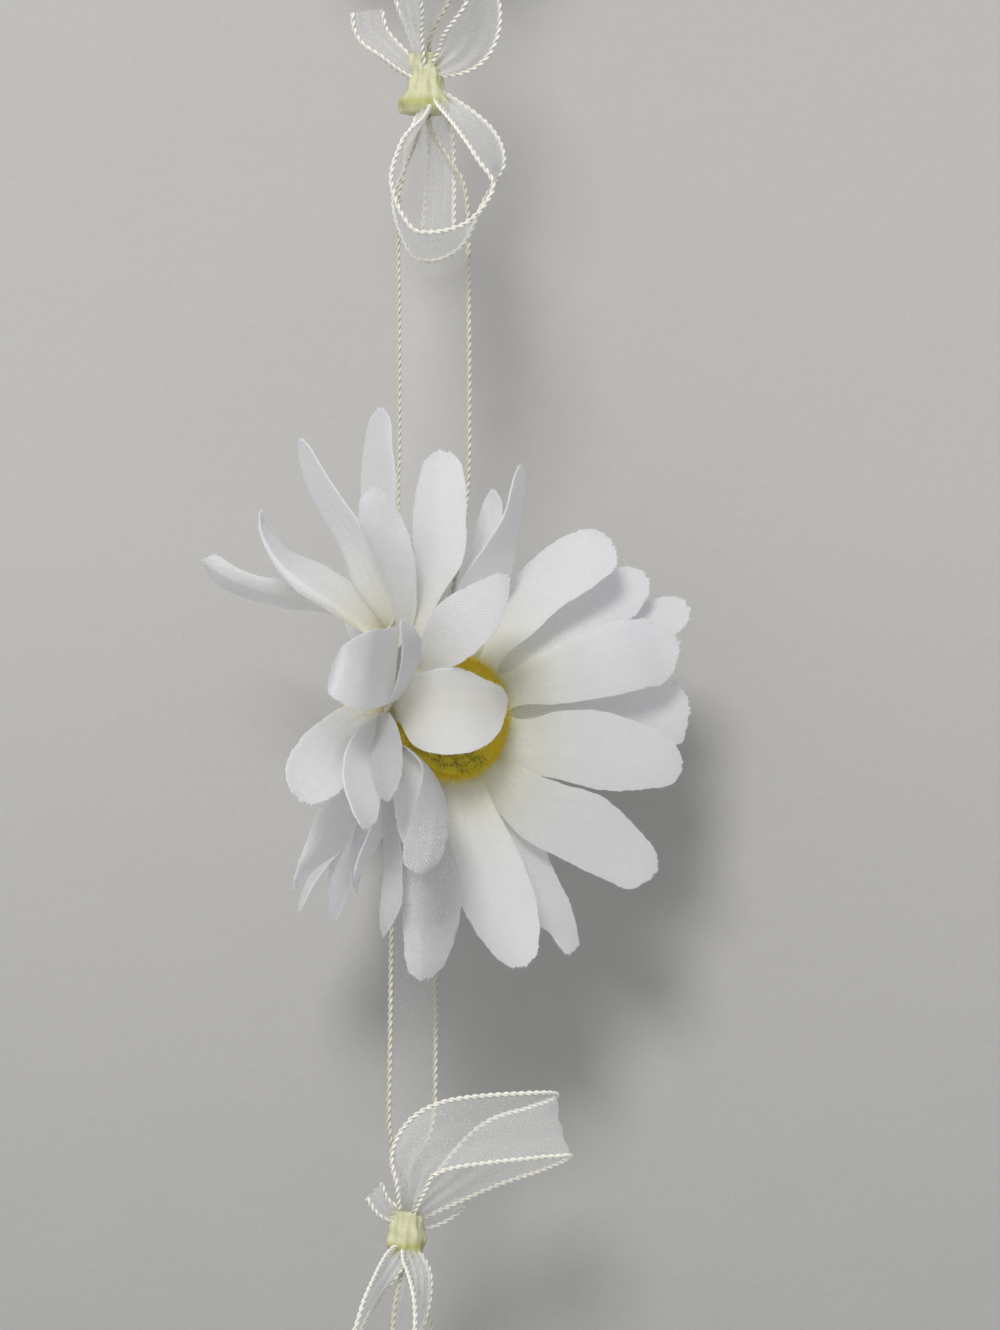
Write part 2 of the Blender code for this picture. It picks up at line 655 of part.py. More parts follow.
def bezier(corners, t):
    a, b, c, d = corners
    s = 1.0 - t
    return a * s**3 + b * (3 * s * s * t) + c * (3 * s * t * t) + d * t**3


def bezier_heading(corners, t):
    a, b, c, d = corners
    s = 1.0 - t
    return ((b - a) * (s * s) + (c - b) * (2 * s * t) + (d - c) * (t * t)).normalized()


def roll_share(roll, t):
    """A small roll starts at the root, so that neighbours lap. A large one comes on later."""
    if abs(roll) <= 45:
        return min(1.0, 0.25 + t)
    share = min(1.0, t / 0.75)
    return share * share * (3 - 2 * share)


def petal_rows(corners, sideways, width, roll, outline):
    """A petal's rows of three points, cupped, each row with its face's direction."""
    rows = []
    for t, share in outline:
        heading = bezier_heading(corners, t)
        across = (sideways - heading * sideways.dot(heading)).normalized()
        turn = math.radians(roll) * roll_share(roll, t)
        across = Matrix.Rotation(turn, 3, heading) @ across
        face = heading.cross(across)
        middle = bezier(corners, t)
        half = share * width / 2
        lift = face * (PETAL_CUP * half)
        rows.append(((middle - across * half + lift, middle, middle + across * half + lift), face))
    return rows


def blade(name, rows, collection):
    """A petal: three points across, its two faces split into triangles alike."""
    points = []
    for row, face in rows:
        for side in (1, -1):
            points += [point + face * (side * PETAL_THICKNESS / 2) for point in row]
    faces = []
    for i in range(len(rows) - 1):
        here, there = 6 * i, 6 * (i + 1)
        for k in (0, 1):
            faces.append((here + k, there + k, there + k + 1))
            faces.append((here + k, there + k + 1, here + k + 1))
            faces.append((here + 3 + k, there + 4 + k, there + 3 + k))
            faces.append((here + 3 + k, here + 4 + k, there + 4 + k))
        faces.append((here, here + 3, there + 3))
        faces.append((here, there + 3, there))
        faces.append((here + 5, here + 2, there + 2))
        faces.append((here + 5, there + 2, there + 5))
    last = 6 * (len(rows) - 1)
    faces += [(0, 1, 4, 3), (1, 2, 5, 4)]
    faces += [(last + 3, last + 4, last + 1, last), (last + 4, last + 5, last + 2, last + 1)]
    return object_from(name, points, faces, collection)


def strip_profile(half, cloth):
    """The ribbon's cross-section: cloth with a thicker cord along each edge."""
    outer = half + CORD_RADIUS
    inner = max(half - 0.7, 0.2)
    rise = CORD_RADIUS * 0.9
    return (
        (outer, -rise),
        (outer, rise),
        (inner, cloth),
        (-inner, cloth),
        (-outer, rise),
        (-outer, -rise),
        (-inner, -cloth),
        (inner, -cloth),
    )


def strip(name, frames, collection, material=None):
    """A length of corded ribbon. Opposite faces are split along the same diagonal."""
    points = []
    for frame in frames:
        openness = min(1.0, max(0.0, (frame.half - 1.0) / 2.0))
        cloth = PINCH_CLOTH_HALF + (CLOTH_HALF - PINCH_CLOTH_HALF) * openness
        for a, b in strip_profile(frame.half, cloth):
            points.append(frame.middle + frame.across * a + frame.face * b)
    around = 8
    faces = []
    for i in range(len(frames) - 1):
        for j in range(around):
            k = (j + 1) % around
            a, b = around * i + j, around * i + k
            c, d = a + around, b + around
            if j in (5, 6, 7):
                faces += [(a, b, c), (b, d, c)]
            else:
                faces += [(a, b, d), (a, d, c)]
    last = around * (len(frames) - 1)
    faces.append(tuple(reversed(range(around))))
    faces.append(tuple(range(last, last + around)))
    return object_from(name, points, faces, collection, material)


def curve_between(values, i, t):
    """A smooth run through the values, as any type that adds and scales."""
    before = values[max(i - 1, 0)]
    a = values[i]
    b = values[i + 1]
    after = values[min(i + 2, len(values) - 1)]
    return (
        a * (2 - 5 * t * t + 3 * t**3)
        + b * (t + 4 * t * t - 3 * t**3)
        + before * (-t + 2 * t * t - t**3)
        + after * (-t * t + t**3)
    ) * 0.5


def band_frames(run, steps):
    """Frames of a ribbon length that passes smoothly through its run of points."""
    middles = [Vector(middle) for middle, _, _ in run]
    widths = [Vector(across).normalized() for _, across, _ in run]
    halves = [half for _, _, half in run]
    samples = []
    for i in range(len(run) - 1):
        for step in range(steps):
            samples.append((i, step / steps))
    samples.append((len(run) - 2, 1.0))
    spots = [curve_between(middles, i, t) for i, t in samples]
    frames = []
    for n, (i, t) in enumerate(samples):
        heading = (spots[min(n + 1, len(spots) - 1)] - spots[max(n - 1, 0)]).normalized()
        across = curve_between(widths, i, t)
        across = (across - heading * across.dot(heading)).normalized()
        half = max(curve_between(halves, i, t), 0.9)
        frames.append(Frame(spots[n], across, heading.cross(across), half))
    return frames


# The main ribbon.


def ribbon_frames():
    frames = []
    for height, offset, turn, openness in RIBBON_RUN:
        angle = math.radians(turn)
        across = Vector((math.cos(angle), math.sin(angle), 0.0))
        half = PINCH_HALF + (RIBBON_HALF - PINCH_HALF) * openness
        heading = Vector((0.0, 0.0, -1.0))
        middle = Vector((offset, 0.0, height))
        frames.append(Frame(middle, across, heading.cross(across), half))
    return frames


def build_ribbon(parts, material):
    made = strip("ribbon", ribbon_frames(), parts, material)
    finish(made, 40)


def loop_spots():
    """The loop's run, from one leg in the binding round the top to the other."""
    offset = RIBBON_RUN[0][1]
    middle = (LOOP_CORD_RADIUS + LOOP_BOTTOM) / 2
    reach = (LOOP_CORD_RADIUS - LOOP_BOTTOM) / 2
    spots = []
    for step in range(17):
        turn = 0.7 + (math.tau - 1.4) * step / 16
        spread = LOOP_SPREAD * math.sin(turn) * math.sin(turn / 2) ** 1.5
        spots.append((offset * (1 + math.cos(turn)) / 2 + spread, middle - reach * math.cos(turn)))
    leg_top = (offset + LOOP_LEG, LOOP_BOTTOM + 2.0)
    leg_foot = (offset + LOOP_LEG, LOOP_BOTTOM - 0.6)
    far_top = (offset - LOOP_LEG, LOOP_BOTTOM + 2.0)
    far_foot = (offset - LOOP_LEG, LOOP_BOTTOM - 0.6)
    return [leg_foot, leg_top, *spots, far_top, far_foot]


def build_hanging_loop(parts, material):
    """A teardrop of cord, its two legs bound together and run down into the first knot."""
    offset = RIBBON_RUN[0][1]
    curve = bpy.data.curves.new("hanging_loop_path", "CURVE")
    curve.dimensions = "3D"
    curve.bevel_depth = LOOP_CORD_RADIUS * MM
    curve.bevel_resolution = 1
    curve.use_fill_caps = True
    spline = curve.splines.new("POLY")
    spots = loop_spots()
    spline.points.add(len(spots) - 1)
    for point, (x, z) in zip(spline.points, spots):
        point.co = (x * MM, 0.0, z * MM, 1.0)
    path = bpy.data.objects.new("hanging_loop_path", curve)
    parts.objects.link(path)
    mesh = evaluated_mesh(path)
    bpy.data.objects.remove(path, do_unlink=True)
    bpy.data.curves.remove(curve)
    split_faces(mesh)
    made = bpy.data.objects.new("hanging_loop", mesh)
    parts.objects.link(made)
    bindings = new_group("loop_bindings")
    binding = lathe("binding", LOOP_BINDING, 12, False, bindings)
    binding.data.transform(Matrix.Translation(Vector((offset * MM, 0.0, 0.0))))
    joined(made, bindings)
    only_material(made, material)
    finish(made, 50)


# Bows.


def knot_body(name, bell, parts, seed):
    """A pinched bell of wrapped ribbon, with shallow folds round it."""
    profile = [(0.0, bell[0][0])]
    profile += [(radius, height) for height, radius in bell]
    profile.append((0.0, bell[-1][0]))
    made = lathe(name, profile, KNOT_SIDES, False, parts)
    for vertex in made.data.vertices:
        radius = math.hypot(vertex.co.x, vertex.co.y)
        if radius < 0.5 * MM:
            continue
        angle = math.atan2(vertex.co.y, vertex.co.x)
        swell = 1.0 + 0.07 * math.cos(5 * angle + seed + vertex.co.z * 900.0)
        vertex.co.x *= swell
        vertex.co.y *= swell * 0.92
    return made


def build_bow(index, parts, material):
    pattern, bell, offset, turn = BOWS[index]
    name = f"bow_{index + 1}"
    made = knot_body(name, bell, parts, index)
    bands = new_group(name + "_bands")
    for n, run in enumerate(pattern):
        strip(f"{name}_band_{n}", band_frames(run, 2), bands)
    joined(made, bands)
    made.data.transform(Matrix.Rotation(math.radians(turn), 4, "Z"))
    cutters = new_group(name + "_cutters")
    passage = passage_cutter(index, cutters)
    cut(made, passage)
    remove_collection(cutters)
    made.location = (offset * MM, 0.0, BOW_HEIGHTS[index] * MM)
    only_material(made, material)
    finish(made, 40)


def passage_cutter(index, collection):
    """The way through the knot, turned with the pinched ribbon inside it."""
    height = BOW_HEIGHTS[index]
    turn = min(RIBBON_RUN, key=lambda row: abs(row[0] - height))[2]
    sides = 12
    points = []
    for end in (-12.0, 12.0):
        for step in range(sides):
            angle = math.tau * step / sides
            x = PASSAGE_HALF_WIDTH * math.cos(angle)
            y = PASSAGE_HALF_DEPTH * math.sin(angle)
            points.append((x, y, end))
    faces = [tuple(reversed(range(sides))), tuple(range(sides, 2 * sides))]
    for step in range(sides):
        after = (step + 1) % sides
        faces.append((step, after, sides + after, sides + step))
    made = object_from("passage", points, faces, collection)
    made.data.transform(Matrix.Rotation(math.radians(turn), 4, "Z"))
    made.hide_render = True
    made.display_type = "WIRE"
    return made


# Daisy heads.


class Head:
    """Where a head sits and which way it faces."""

    def __init__(self, pair, side):
        turn = math.radians(PAIR_TURNS[pair])
        tip = math.radians(PAIR_TIPS[pair])
        along = Vector((math.cos(turn), math.sin(turn), 0.0))
        off = Vector((math.sin(turn), -math.cos(turn), 0.0))
        if side == "left":
            off = -off
        self.pair = pair
        self.side = side
        self.off = off
        self.along = along
        self.axis = (off * math.cos(tip) - along * math.sin(tip)).normalized()
        self.level = UP.cross(self.axis).normalized()
        rise, shift, drop = (5.8, -4.0, -2.4) if side == "right" else (4.4, -3.2, 0.0)
        self.rise = rise
        self.hub = Vector((PAIR_CENTRES[pair], 0.0, DAISY_HEIGHTS[pair]))
        self.middle = self.hub + off * rise + along * shift + UP * drop

    def direction(self, azimuth):
        return self.level * math.cos(azimuth) + UP * math.sin(azimuth)

    def matrix(self):
        turned = Matrix((self.level, UP, self.axis)).transposed().to_4x4()
        turned.translation = self.middle * MM
        return turned

    def name(self, piece):
        return f"daisy_{self.pair + 1}_{self.side}_{piece}"


def leaning(head, azimuth, lean):
    return head.direction(azimuth) * math.cos(lean) + head.axis * math.sin(lean)


def open_petal(head, layer, tip, curl):
    """A petal that lies open. It leaves the collar nearly flat, to clear the disc's rim."""
    reach = tip - head.middle
    azimuth = math.atan2(reach.dot(UP), reach.dot(head.level))
    root = head.middle + head.direction(azimuth) * ROOT_RADIUS + head.axis * LAYER_HEIGHTS[layer]
    run = tip - root
    length = run.length
    lean = math.asin(max(-1.0, min(1.0, run.dot(head.axis) / length)))
    start = leaning(head, azimuth, min(lean * 0.6, math.radians(7)))
    end = leaning(head, azimuth, lean + math.radians(curl))
    corners = (root, root + start * (length * 0.36), tip - end * (length * 0.33), tip)
    return corners, head.axis.cross(head.direction(azimuth))


def slope(at, values, i):
    return (values[i + 1] - values[i]) / (at[i + 1] - at[i])


def tangent(at, values, i):
    """The direction of the smooth run where it passes one of its values."""
    if i == 0:
        return slope(at, values, 0)
    if i == len(at) - 1:
        return slope(at, values, i - 1)
    before = at[i] - at[i - 1]
    after = at[i + 1] - at[i]
    return (slope(at, values, i - 1) * after + slope(at, values, i) * before) / (before + after)


def run_through(at, values, spot):
    """The value at the spot on a smooth run that passes through the given ones."""
    i = 0
    while i < len(at) - 2 and spot > at[i + 1]:
        i += 1
    gap = at[i + 1] - at[i]
    h = (spot - at[i]) / gap
    start = tangent(at, values, i)
    end = tangent(at, values, i + 1)
    return (
        values[i] * ((1 + 2 * h) * (1 - h) ** 2)
        + start * (gap * h * (1 - h) ** 2)
        + values[i + 1] * (h * h * (3 - 2 * h))
        + end * (gap * h * h * (h - 1))
    )


def outline_share(t):
    """Half width of an open petal at a share of its length."""
    for (start, first), (end, second) in zip(OPEN_OUTLINE, OPEN_OUTLINE[1:]):
        if t <= end:
            return first + (second - first) * (t - start) / (end - start)
    return OPEN_OUTLINE[-1][1]


def sight_spot(across, up, depth):
    """A spot drawn as the eye sees it at the ribbon's distance, moved to its own depth."""
    share = 1.0 - depth / EYE[1]
    x = EYE[0] + (across - EYE[0]) * share
    z = EYE[2] + (up + DAISY_HEIGHTS[1] - EYE[2]) * share
    return Vector((x, depth, z))


def root_edges(head, layer, azimuth, width, rim):
    """A petal's two first pairs of edge points: at the collar, and beside the disc's rim."""
    out = head.direction(math.radians(azimuth))
    side = head.axis.cross(out) * (width / 2)
    edges = []
    for radius, share in ((ROOT_RADIUS, 0.22), (rim, 0.54)):
        spot = head.middle + out * radius + head.axis * LAYER_HEIGHTS[layer]
        edges.append((spot - side * share, spot + side * share))
    return edges


def seen_edges(head, petal, rim):
    """A photographed petal's pairs of edge points, and how far each is from the root."""
    layer, azimuth, width, facing, _, _, rows = petal
    roots = root_edges(head, layer, azimuth, width, rim)
    middles = [(first + second) / 2 for first, second in roots]
    for ax, az, bx, bz, depth in rows:
        middles.append(sight_spot((ax + bx) / 2, (az + bz) / 2, depth))
    at = [0.0]
    for before, after in zip(middles, middles[1:]):
        at.append(at[-1] + (after - before).length)
    edges = []
    for spot, (ax, az, bx, bz, depth) in zip(at[2:], rows):
        full = width * outline_share(spot / at[-1])
        drawn = math.hypot(bx - ax, bz - az)
        slant = facing * math.sqrt(max(full * full - drawn * drawn, 0.0)) / 2
        edges.append((sight_spot(ax, az, depth - slant), sight_spot(bx, bz, depth + slant)))
    start = edges[0][1] - edges[0][0]
    if (roots[1][1] - roots[1][0]).dot(start) < 0:
        roots = [(second, first) for first, second in roots]
    return roots + edges, at


def seen_rows(head, petal, rim, steps):
    """A photographed petal's rows of three points, each row with its face's direction."""
    ridge, height = petal[4], petal[5]
    edges, at = seen_edges(head, petal, rim)
    first = [pair[0] for pair in edges]
    second = [pair[1] for pair in edges]
    found = []
    for t in steps:
        a = run_through(at, first, t * at[-1])
        b = run_through(at, second, t * at[-1])
        share = min(1.0, t * 3) * height * (b - a).length / 2
        crest = a + (b - a) * (1 + ridge) / 2 + Vector((0.0, -share, 0.0))
        found.append((a, crest, b))
    rows = []
    for i, row in enumerate(found):
        before = found[max(i - 1, 0)]
        after = found[min(i + 1, len(found) - 1)]
        heading = (after[0] + after[2] - before[0] - before[2]).normalized()
        across = (row[2] - row[0]).normalized()
        rows.append((row, heading.cross(across).normalized()))
    return rows


def drawn_petals(head):
    """Petals of the photographed pair: those that show, and those at the left head's back."""
    if head.side == "right":
        found = [seen_rows(head, petal, LYING_RIM, LYING_STEPS) for petal in LYING_RIGHT]
        found += [seen_rows(head, petal, STANDING_RIM, STANDING_STEPS) for petal in STANDING_RIGHT]
        return found
    found = [seen_rows(head, petal, STANDING_RIM, STANDING_STEPS) for petal in STANDING_LEFT]
    for layer, tip, width, roll in BACK_LEFT:
        corners, sideways = open_petal(head, layer, head.hub + Vector(tip), -8)
        found.append(petal_rows(corners, sideways, width, roll, PLAIN_OUTLINE))
    return found


def sown_petals(head):
    """Petals of the other heads: two layers, a little uneven, lifted where the heads meet."""
    rng = random.Random(71 + 10 * head.pair + (head.side == "left"))
    found = []
    for layer, count, lean in (("inner", 11, 13.0), ("outer", 9, 3.0)):
        for step in range(count):
            place = step + (0.5 if layer == "outer" else 0.0)
            azimuth = math.radians(place * 360 / count + rng.uniform(-3.5, 3.5))
            crowding = max(0.0, -math.cos(azimuth))
            if head.side == "left":
                crowding = max(0.0, math.cos(azimuth))
            rise = math.radians(lean + rng.uniform(-1.0, 4.0) + 15.0 * crowding)
            length = rng.uniform(33.5, 37.5)
            tip = head.middle + leaning(head, azimuth, rise) * length
            corners, sideways = open_petal(head, layer, tip, rng.uniform(-9.0, 6.0))
            width = rng.uniform(10.4, 11.8)
            roll = rng.uniform(8, 13)
            found.append(petal_rows(corners, sideways, width, roll, PLAIN_OUTLINE))
    return found


def build_petals(head, parts, material):
    name = head.name("petals")
    profile = (
        (COLLAR_INNER, COLLAR_BOTTOM),
        (COLLAR_OUTER, COLLAR_BOTTOM),
        (COLLAR_OUTER, COLLAR_TOP),
        (COLLAR_INNER, COLLAR_TOP),
    )
    made = lathe(name, profile, 12, True, parts)
    made.data.transform(head.matrix())
    layers = new_group(name + "_layers")
    petals = drawn_petals(head) if head.pair == 1 else sown_petals(head)
    for n, rows in enumerate(petals):
        blade(f"{name}_{n}", rows, layers)
    joined(made, layers)
    fill_voids(made.data)
    only_material(made, material)
    finish(made, 35)


def build_disc(head, parts, material):
    """The domed flocked disc with raised florets, and the peg behind it."""
    profile = (
        (0.0, PEG_END),
        (PEG_RADIUS, PEG_END),
        (PEG_RADIUS, 1.6),
        (4.8, 1.6),
        (DISC_RADIUS, 3.0),
        (DISC_RADIUS, 3.8),
        (5.6, 5.1),
        (2.8, 5.7),
        (0.0, 5.6),
    )
    made = lathe(head.name("disc"), profile, DISC_SIDES, False, parts)
    for vertex in made.data.vertices:
        radius = math.hypot(vertex.co.x, vertex.co.y) / MM
        if vertex.co.z < 4.5 * MM or radius < 1.0:
            continue
        place = round(math.atan2(vertex.co.y, vertex.co.x) / math.tau * DISC_SIDES)
        ring = round(radius / 2.8)
        vertex.co.z += (0.3 if (place + ring) % 2 else -0.25) * MM
    made.data.transform(head.matrix())
    only_material(made, material)
    finish(made, 30)


def build_backing(head, parts, material):
    """The cup glued to the ribbon's face, its foot cut along the ribbon."""
    sides = 12
    foot_depth = (head.rise - FOOT_CLEARANCE) / head.axis.dot(head.off)
    foot_middle = head.middle - head.axis * foot_depth
    rings = []
    for radius, height in ((COLLAR_INNER, BACKING_SOCKET), (COLLAR_INNER, BACKING_TOP)):
        rings.append(ring_points(head, radius, height, sides))
    rings.append(ring_points(head, BACKING_TOP_RADIUS, BACKING_TOP, sides))
    foot = []
    for step in range(sides):
        angle = math.tau * step / sides
        spot = head.direction(angle) * BACKING_FOOT_RADIUS
        spot -= head.off * spot.dot(head.off)
        foot.append(foot_middle + spot)
    rings.append(foot)
    points = [point for ring in rings for point in ring]
    faces = [tuple(range(sides)), tuple(reversed(range(3 * sides, 4 * sides)))]
    for level in range(3):
        for step in range(sides):
            after = (step + 1) % sides
            a, b = level * sides + step, level * sides + after
            faces.append((a, a + sides, b + sides, b))
    made = object_from(head.name("backing"), points, faces, parts, material)
    face_out(made.data)
    finish(made, 40)


def ring_points(head, radius, height, sides):
    found = []
    for step in range(sides):
        angle = math.tau * step / sides
        found.append(head.middle + head.direction(angle) * radius + head.axis * height)
    return found


def build():
    clear_scene()
    parts = new_group("daisy_garland")
    organza = make_material("organza_ribbon", (0.86, 0.85, 0.78), 0.45)
    bow_organza = make_material("bow_organza", (0.88, 0.87, 0.72), 0.4)
    cord = make_material("loop_cord", (0.85, 0.83, 0.62), 0.5)
    white = make_material("petal_cloth", (0.9, 0.9, 0.91), 0.8)
    yellow = make_material("disc_flock", (0.78, 0.58, 0.06), 0.9)
    pale = make_material("backing_plastic", (0.72, 0.76, 0.6), 0.5)
    build_ribbon(parts, organza)
    build_hanging_loop(parts, cord)
    for index in range(len(BOWS)):
        build_bow(index, parts, bow_organza)
    for pair in range(len(DAISY_HEIGHTS)):
        for side in ("left", "right"):
            head = Head(pair, side)
            build_petals(head, parts, white)
            build_disc(head, parts, yellow)
            build_backing(head, parts, pale)


build()
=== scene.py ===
"""Daisy garland: cloth daisies in pairs along a sheer corded ribbon, with ribbon bows between.

Lengths are in millimetres and are turned into metres when a mesh is made. Z is up, the origin
is where the strand's loop rests on its hook, and the photographed side faces -Y.
"""

import math
import random

import bpy
import numpy as np
from mathutils import Matrix, Vector


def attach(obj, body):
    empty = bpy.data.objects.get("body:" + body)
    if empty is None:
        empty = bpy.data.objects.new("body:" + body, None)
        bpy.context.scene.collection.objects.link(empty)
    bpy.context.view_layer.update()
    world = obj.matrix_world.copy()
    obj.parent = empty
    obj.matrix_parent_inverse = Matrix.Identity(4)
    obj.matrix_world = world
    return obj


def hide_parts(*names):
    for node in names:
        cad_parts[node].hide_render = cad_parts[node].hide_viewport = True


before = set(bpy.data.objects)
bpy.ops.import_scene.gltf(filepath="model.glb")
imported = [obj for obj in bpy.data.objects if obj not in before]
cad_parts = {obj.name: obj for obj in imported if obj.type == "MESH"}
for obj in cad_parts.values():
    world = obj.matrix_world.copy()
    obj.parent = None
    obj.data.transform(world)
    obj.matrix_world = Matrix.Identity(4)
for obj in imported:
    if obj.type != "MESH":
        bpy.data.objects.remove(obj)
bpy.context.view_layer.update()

MM = 0.001
UP = Vector((0.0, 0.0, 1.0))

# The camera: level with the flower's middle, 600 mm in front of the ribbon, where it sees a
# height of 190 mm.
CAMERA_SPOT = (11.4, -600.0, -281.0)
SENSOR_WIDTH = 36.0
CAMERA_LENS = SENSOR_WIDTH * 600.0 / 190.0

# The lights' distance and the spot they face, in metres.
LIGHT_DISTANCE = 1.6
LIGHT_AIM = (0.0, 0.0, -0.28)
LIGHT_COLOUR = (1.0, 0.985, 0.95)

# The wall behind the strand and the floor below it. Their reach is in metres.
WALL_Y = 45.0
# The wall's colour near the floor and higher up: the darker colour low down is painted shade.
WALL_LOW_PAINTED_SHADE = (0.345, 0.345, 0.345)
WALL_HIGH = (0.45, 0.443, 0.436)
FLOOR_Z = -680.0
STAGE_REACH = 3.0

# The strand, from the hook downwards.
BOW_HEIGHTS = (-35.0, -198.0, -361.0, -524.0)
DAISY_HEIGHTS = (-123.0, -286.0, -449.0)
STRAND_END = -572.0
LOOP_SPREAD = 7.0
LOOP_BOTTOM = -28.6
LOOP_CORD_RADIUS = 0.7
LOOP_LEG = 0.86
LOOP_BINDING = ((-34.9, 0.8), (-30.6, 0.9), (-29.5, 1.9), (-27.8, 1.9), (-27.6, 1.3))

# The ribbon: its width over the cords, then half its width between them, open and where a knot
# gathers it. A cord's strands. The bell shapes of the knots, as pairs of height and radius.
RIBBON_HALF = 5.0
PINCH_HALF = 0.6
CORD_OFFSET = 0.17
CORD_STRAND = 0.22
CORD_PITCH = 2.2
KNOT_BELL = ((-4.4, 3.1), (-3.0, 3.8), (-0.8, 2.7), (2.2, 2.1), (4.4, 2.4))
SLIM_BELL = ((-4.6, 2.2), (-2.6, 2.7), (-0.4, 2.5), (2.2, 2.1))

# Daisy heads. The shown pair is the photographed one. A head's seat is how far its middle stands
# off the ribbon, along the ribbon's width and up.
SHOWN_PAIR = 1
HEAD_SEATS = {"left": (4.4, -3.2, 0.0), "right": (5.8, -4.0, -2.4)}
PAIR_TURNS = (-52.0, 60.0, 104.0)
PAIR_TIPS = (15.0, 30.0, 15.0)
PAIR_CENTRES = (0.3, 0.5, -0.6)
BACKING_FOOT_RADIUS = 2.8
FOOT_CLEARANCE = 0.6

# Petals: rows and columns of the shown ones and of the others.
SHOWN_GRID = (76, 27)
PLAIN_GRID = (30, 13)
PETAL_THICKNESS = 0.22
PETAL_CUP = 0.12
ROOT_RADIUS = 2.7
LAYER_HEIGHTS = {"inner": 0.35, "outer": -0.65}
FRAYED_THREADS = 130

# The disc's profile, as pairs of radius and height, and its flock: number of fibres and their
# thickness on the shown discs and on the others.
DISC_PROFILE = (
    (0.2, 1.7), (4.8, 1.7), (7.0, 2.6), (7.9, 3.1), (8.0, 3.6), (7.4, 4.2), (5.6, 5.0), (2.8, 5.5),
    (0.05, 5.6),
)
FLOCK_REACH = 8.3
SHOWN_FLOCK = (9000, 0.07)
PLAIN_FLOCK = (1800, 0.13)
GOLDEN_ANGLE = 2.39996

# Petals of the pair's left head that lie open at its back: layer, tip (x, y, z) measured from
# the ribbon at the pair's middle, width and roll.
BACK_LEFT = (
    ("inner", (-11.5, 23.0, 21.0), 11.0, 10),
    ("inner", (-11.0, 32.0, 8.0), 11.0, 10),
    ("inner", (-11.5, 33.0, -9.0), 11.0, 10),
    ("inner", (-11.5, 23.0, -23.0), 11.0, 10),
    ("outer", (-10.3, 16.0, -28.0), 10.0, -14),
    ("outer", (-8.0, 28.0, 22.0), 11.0, 8),
    ("outer", (-7.5, 36.0, -0.5), 11.0, 8),
    ("outer", (-8.0, 30.0, -20.0), 11.0, 8),
)

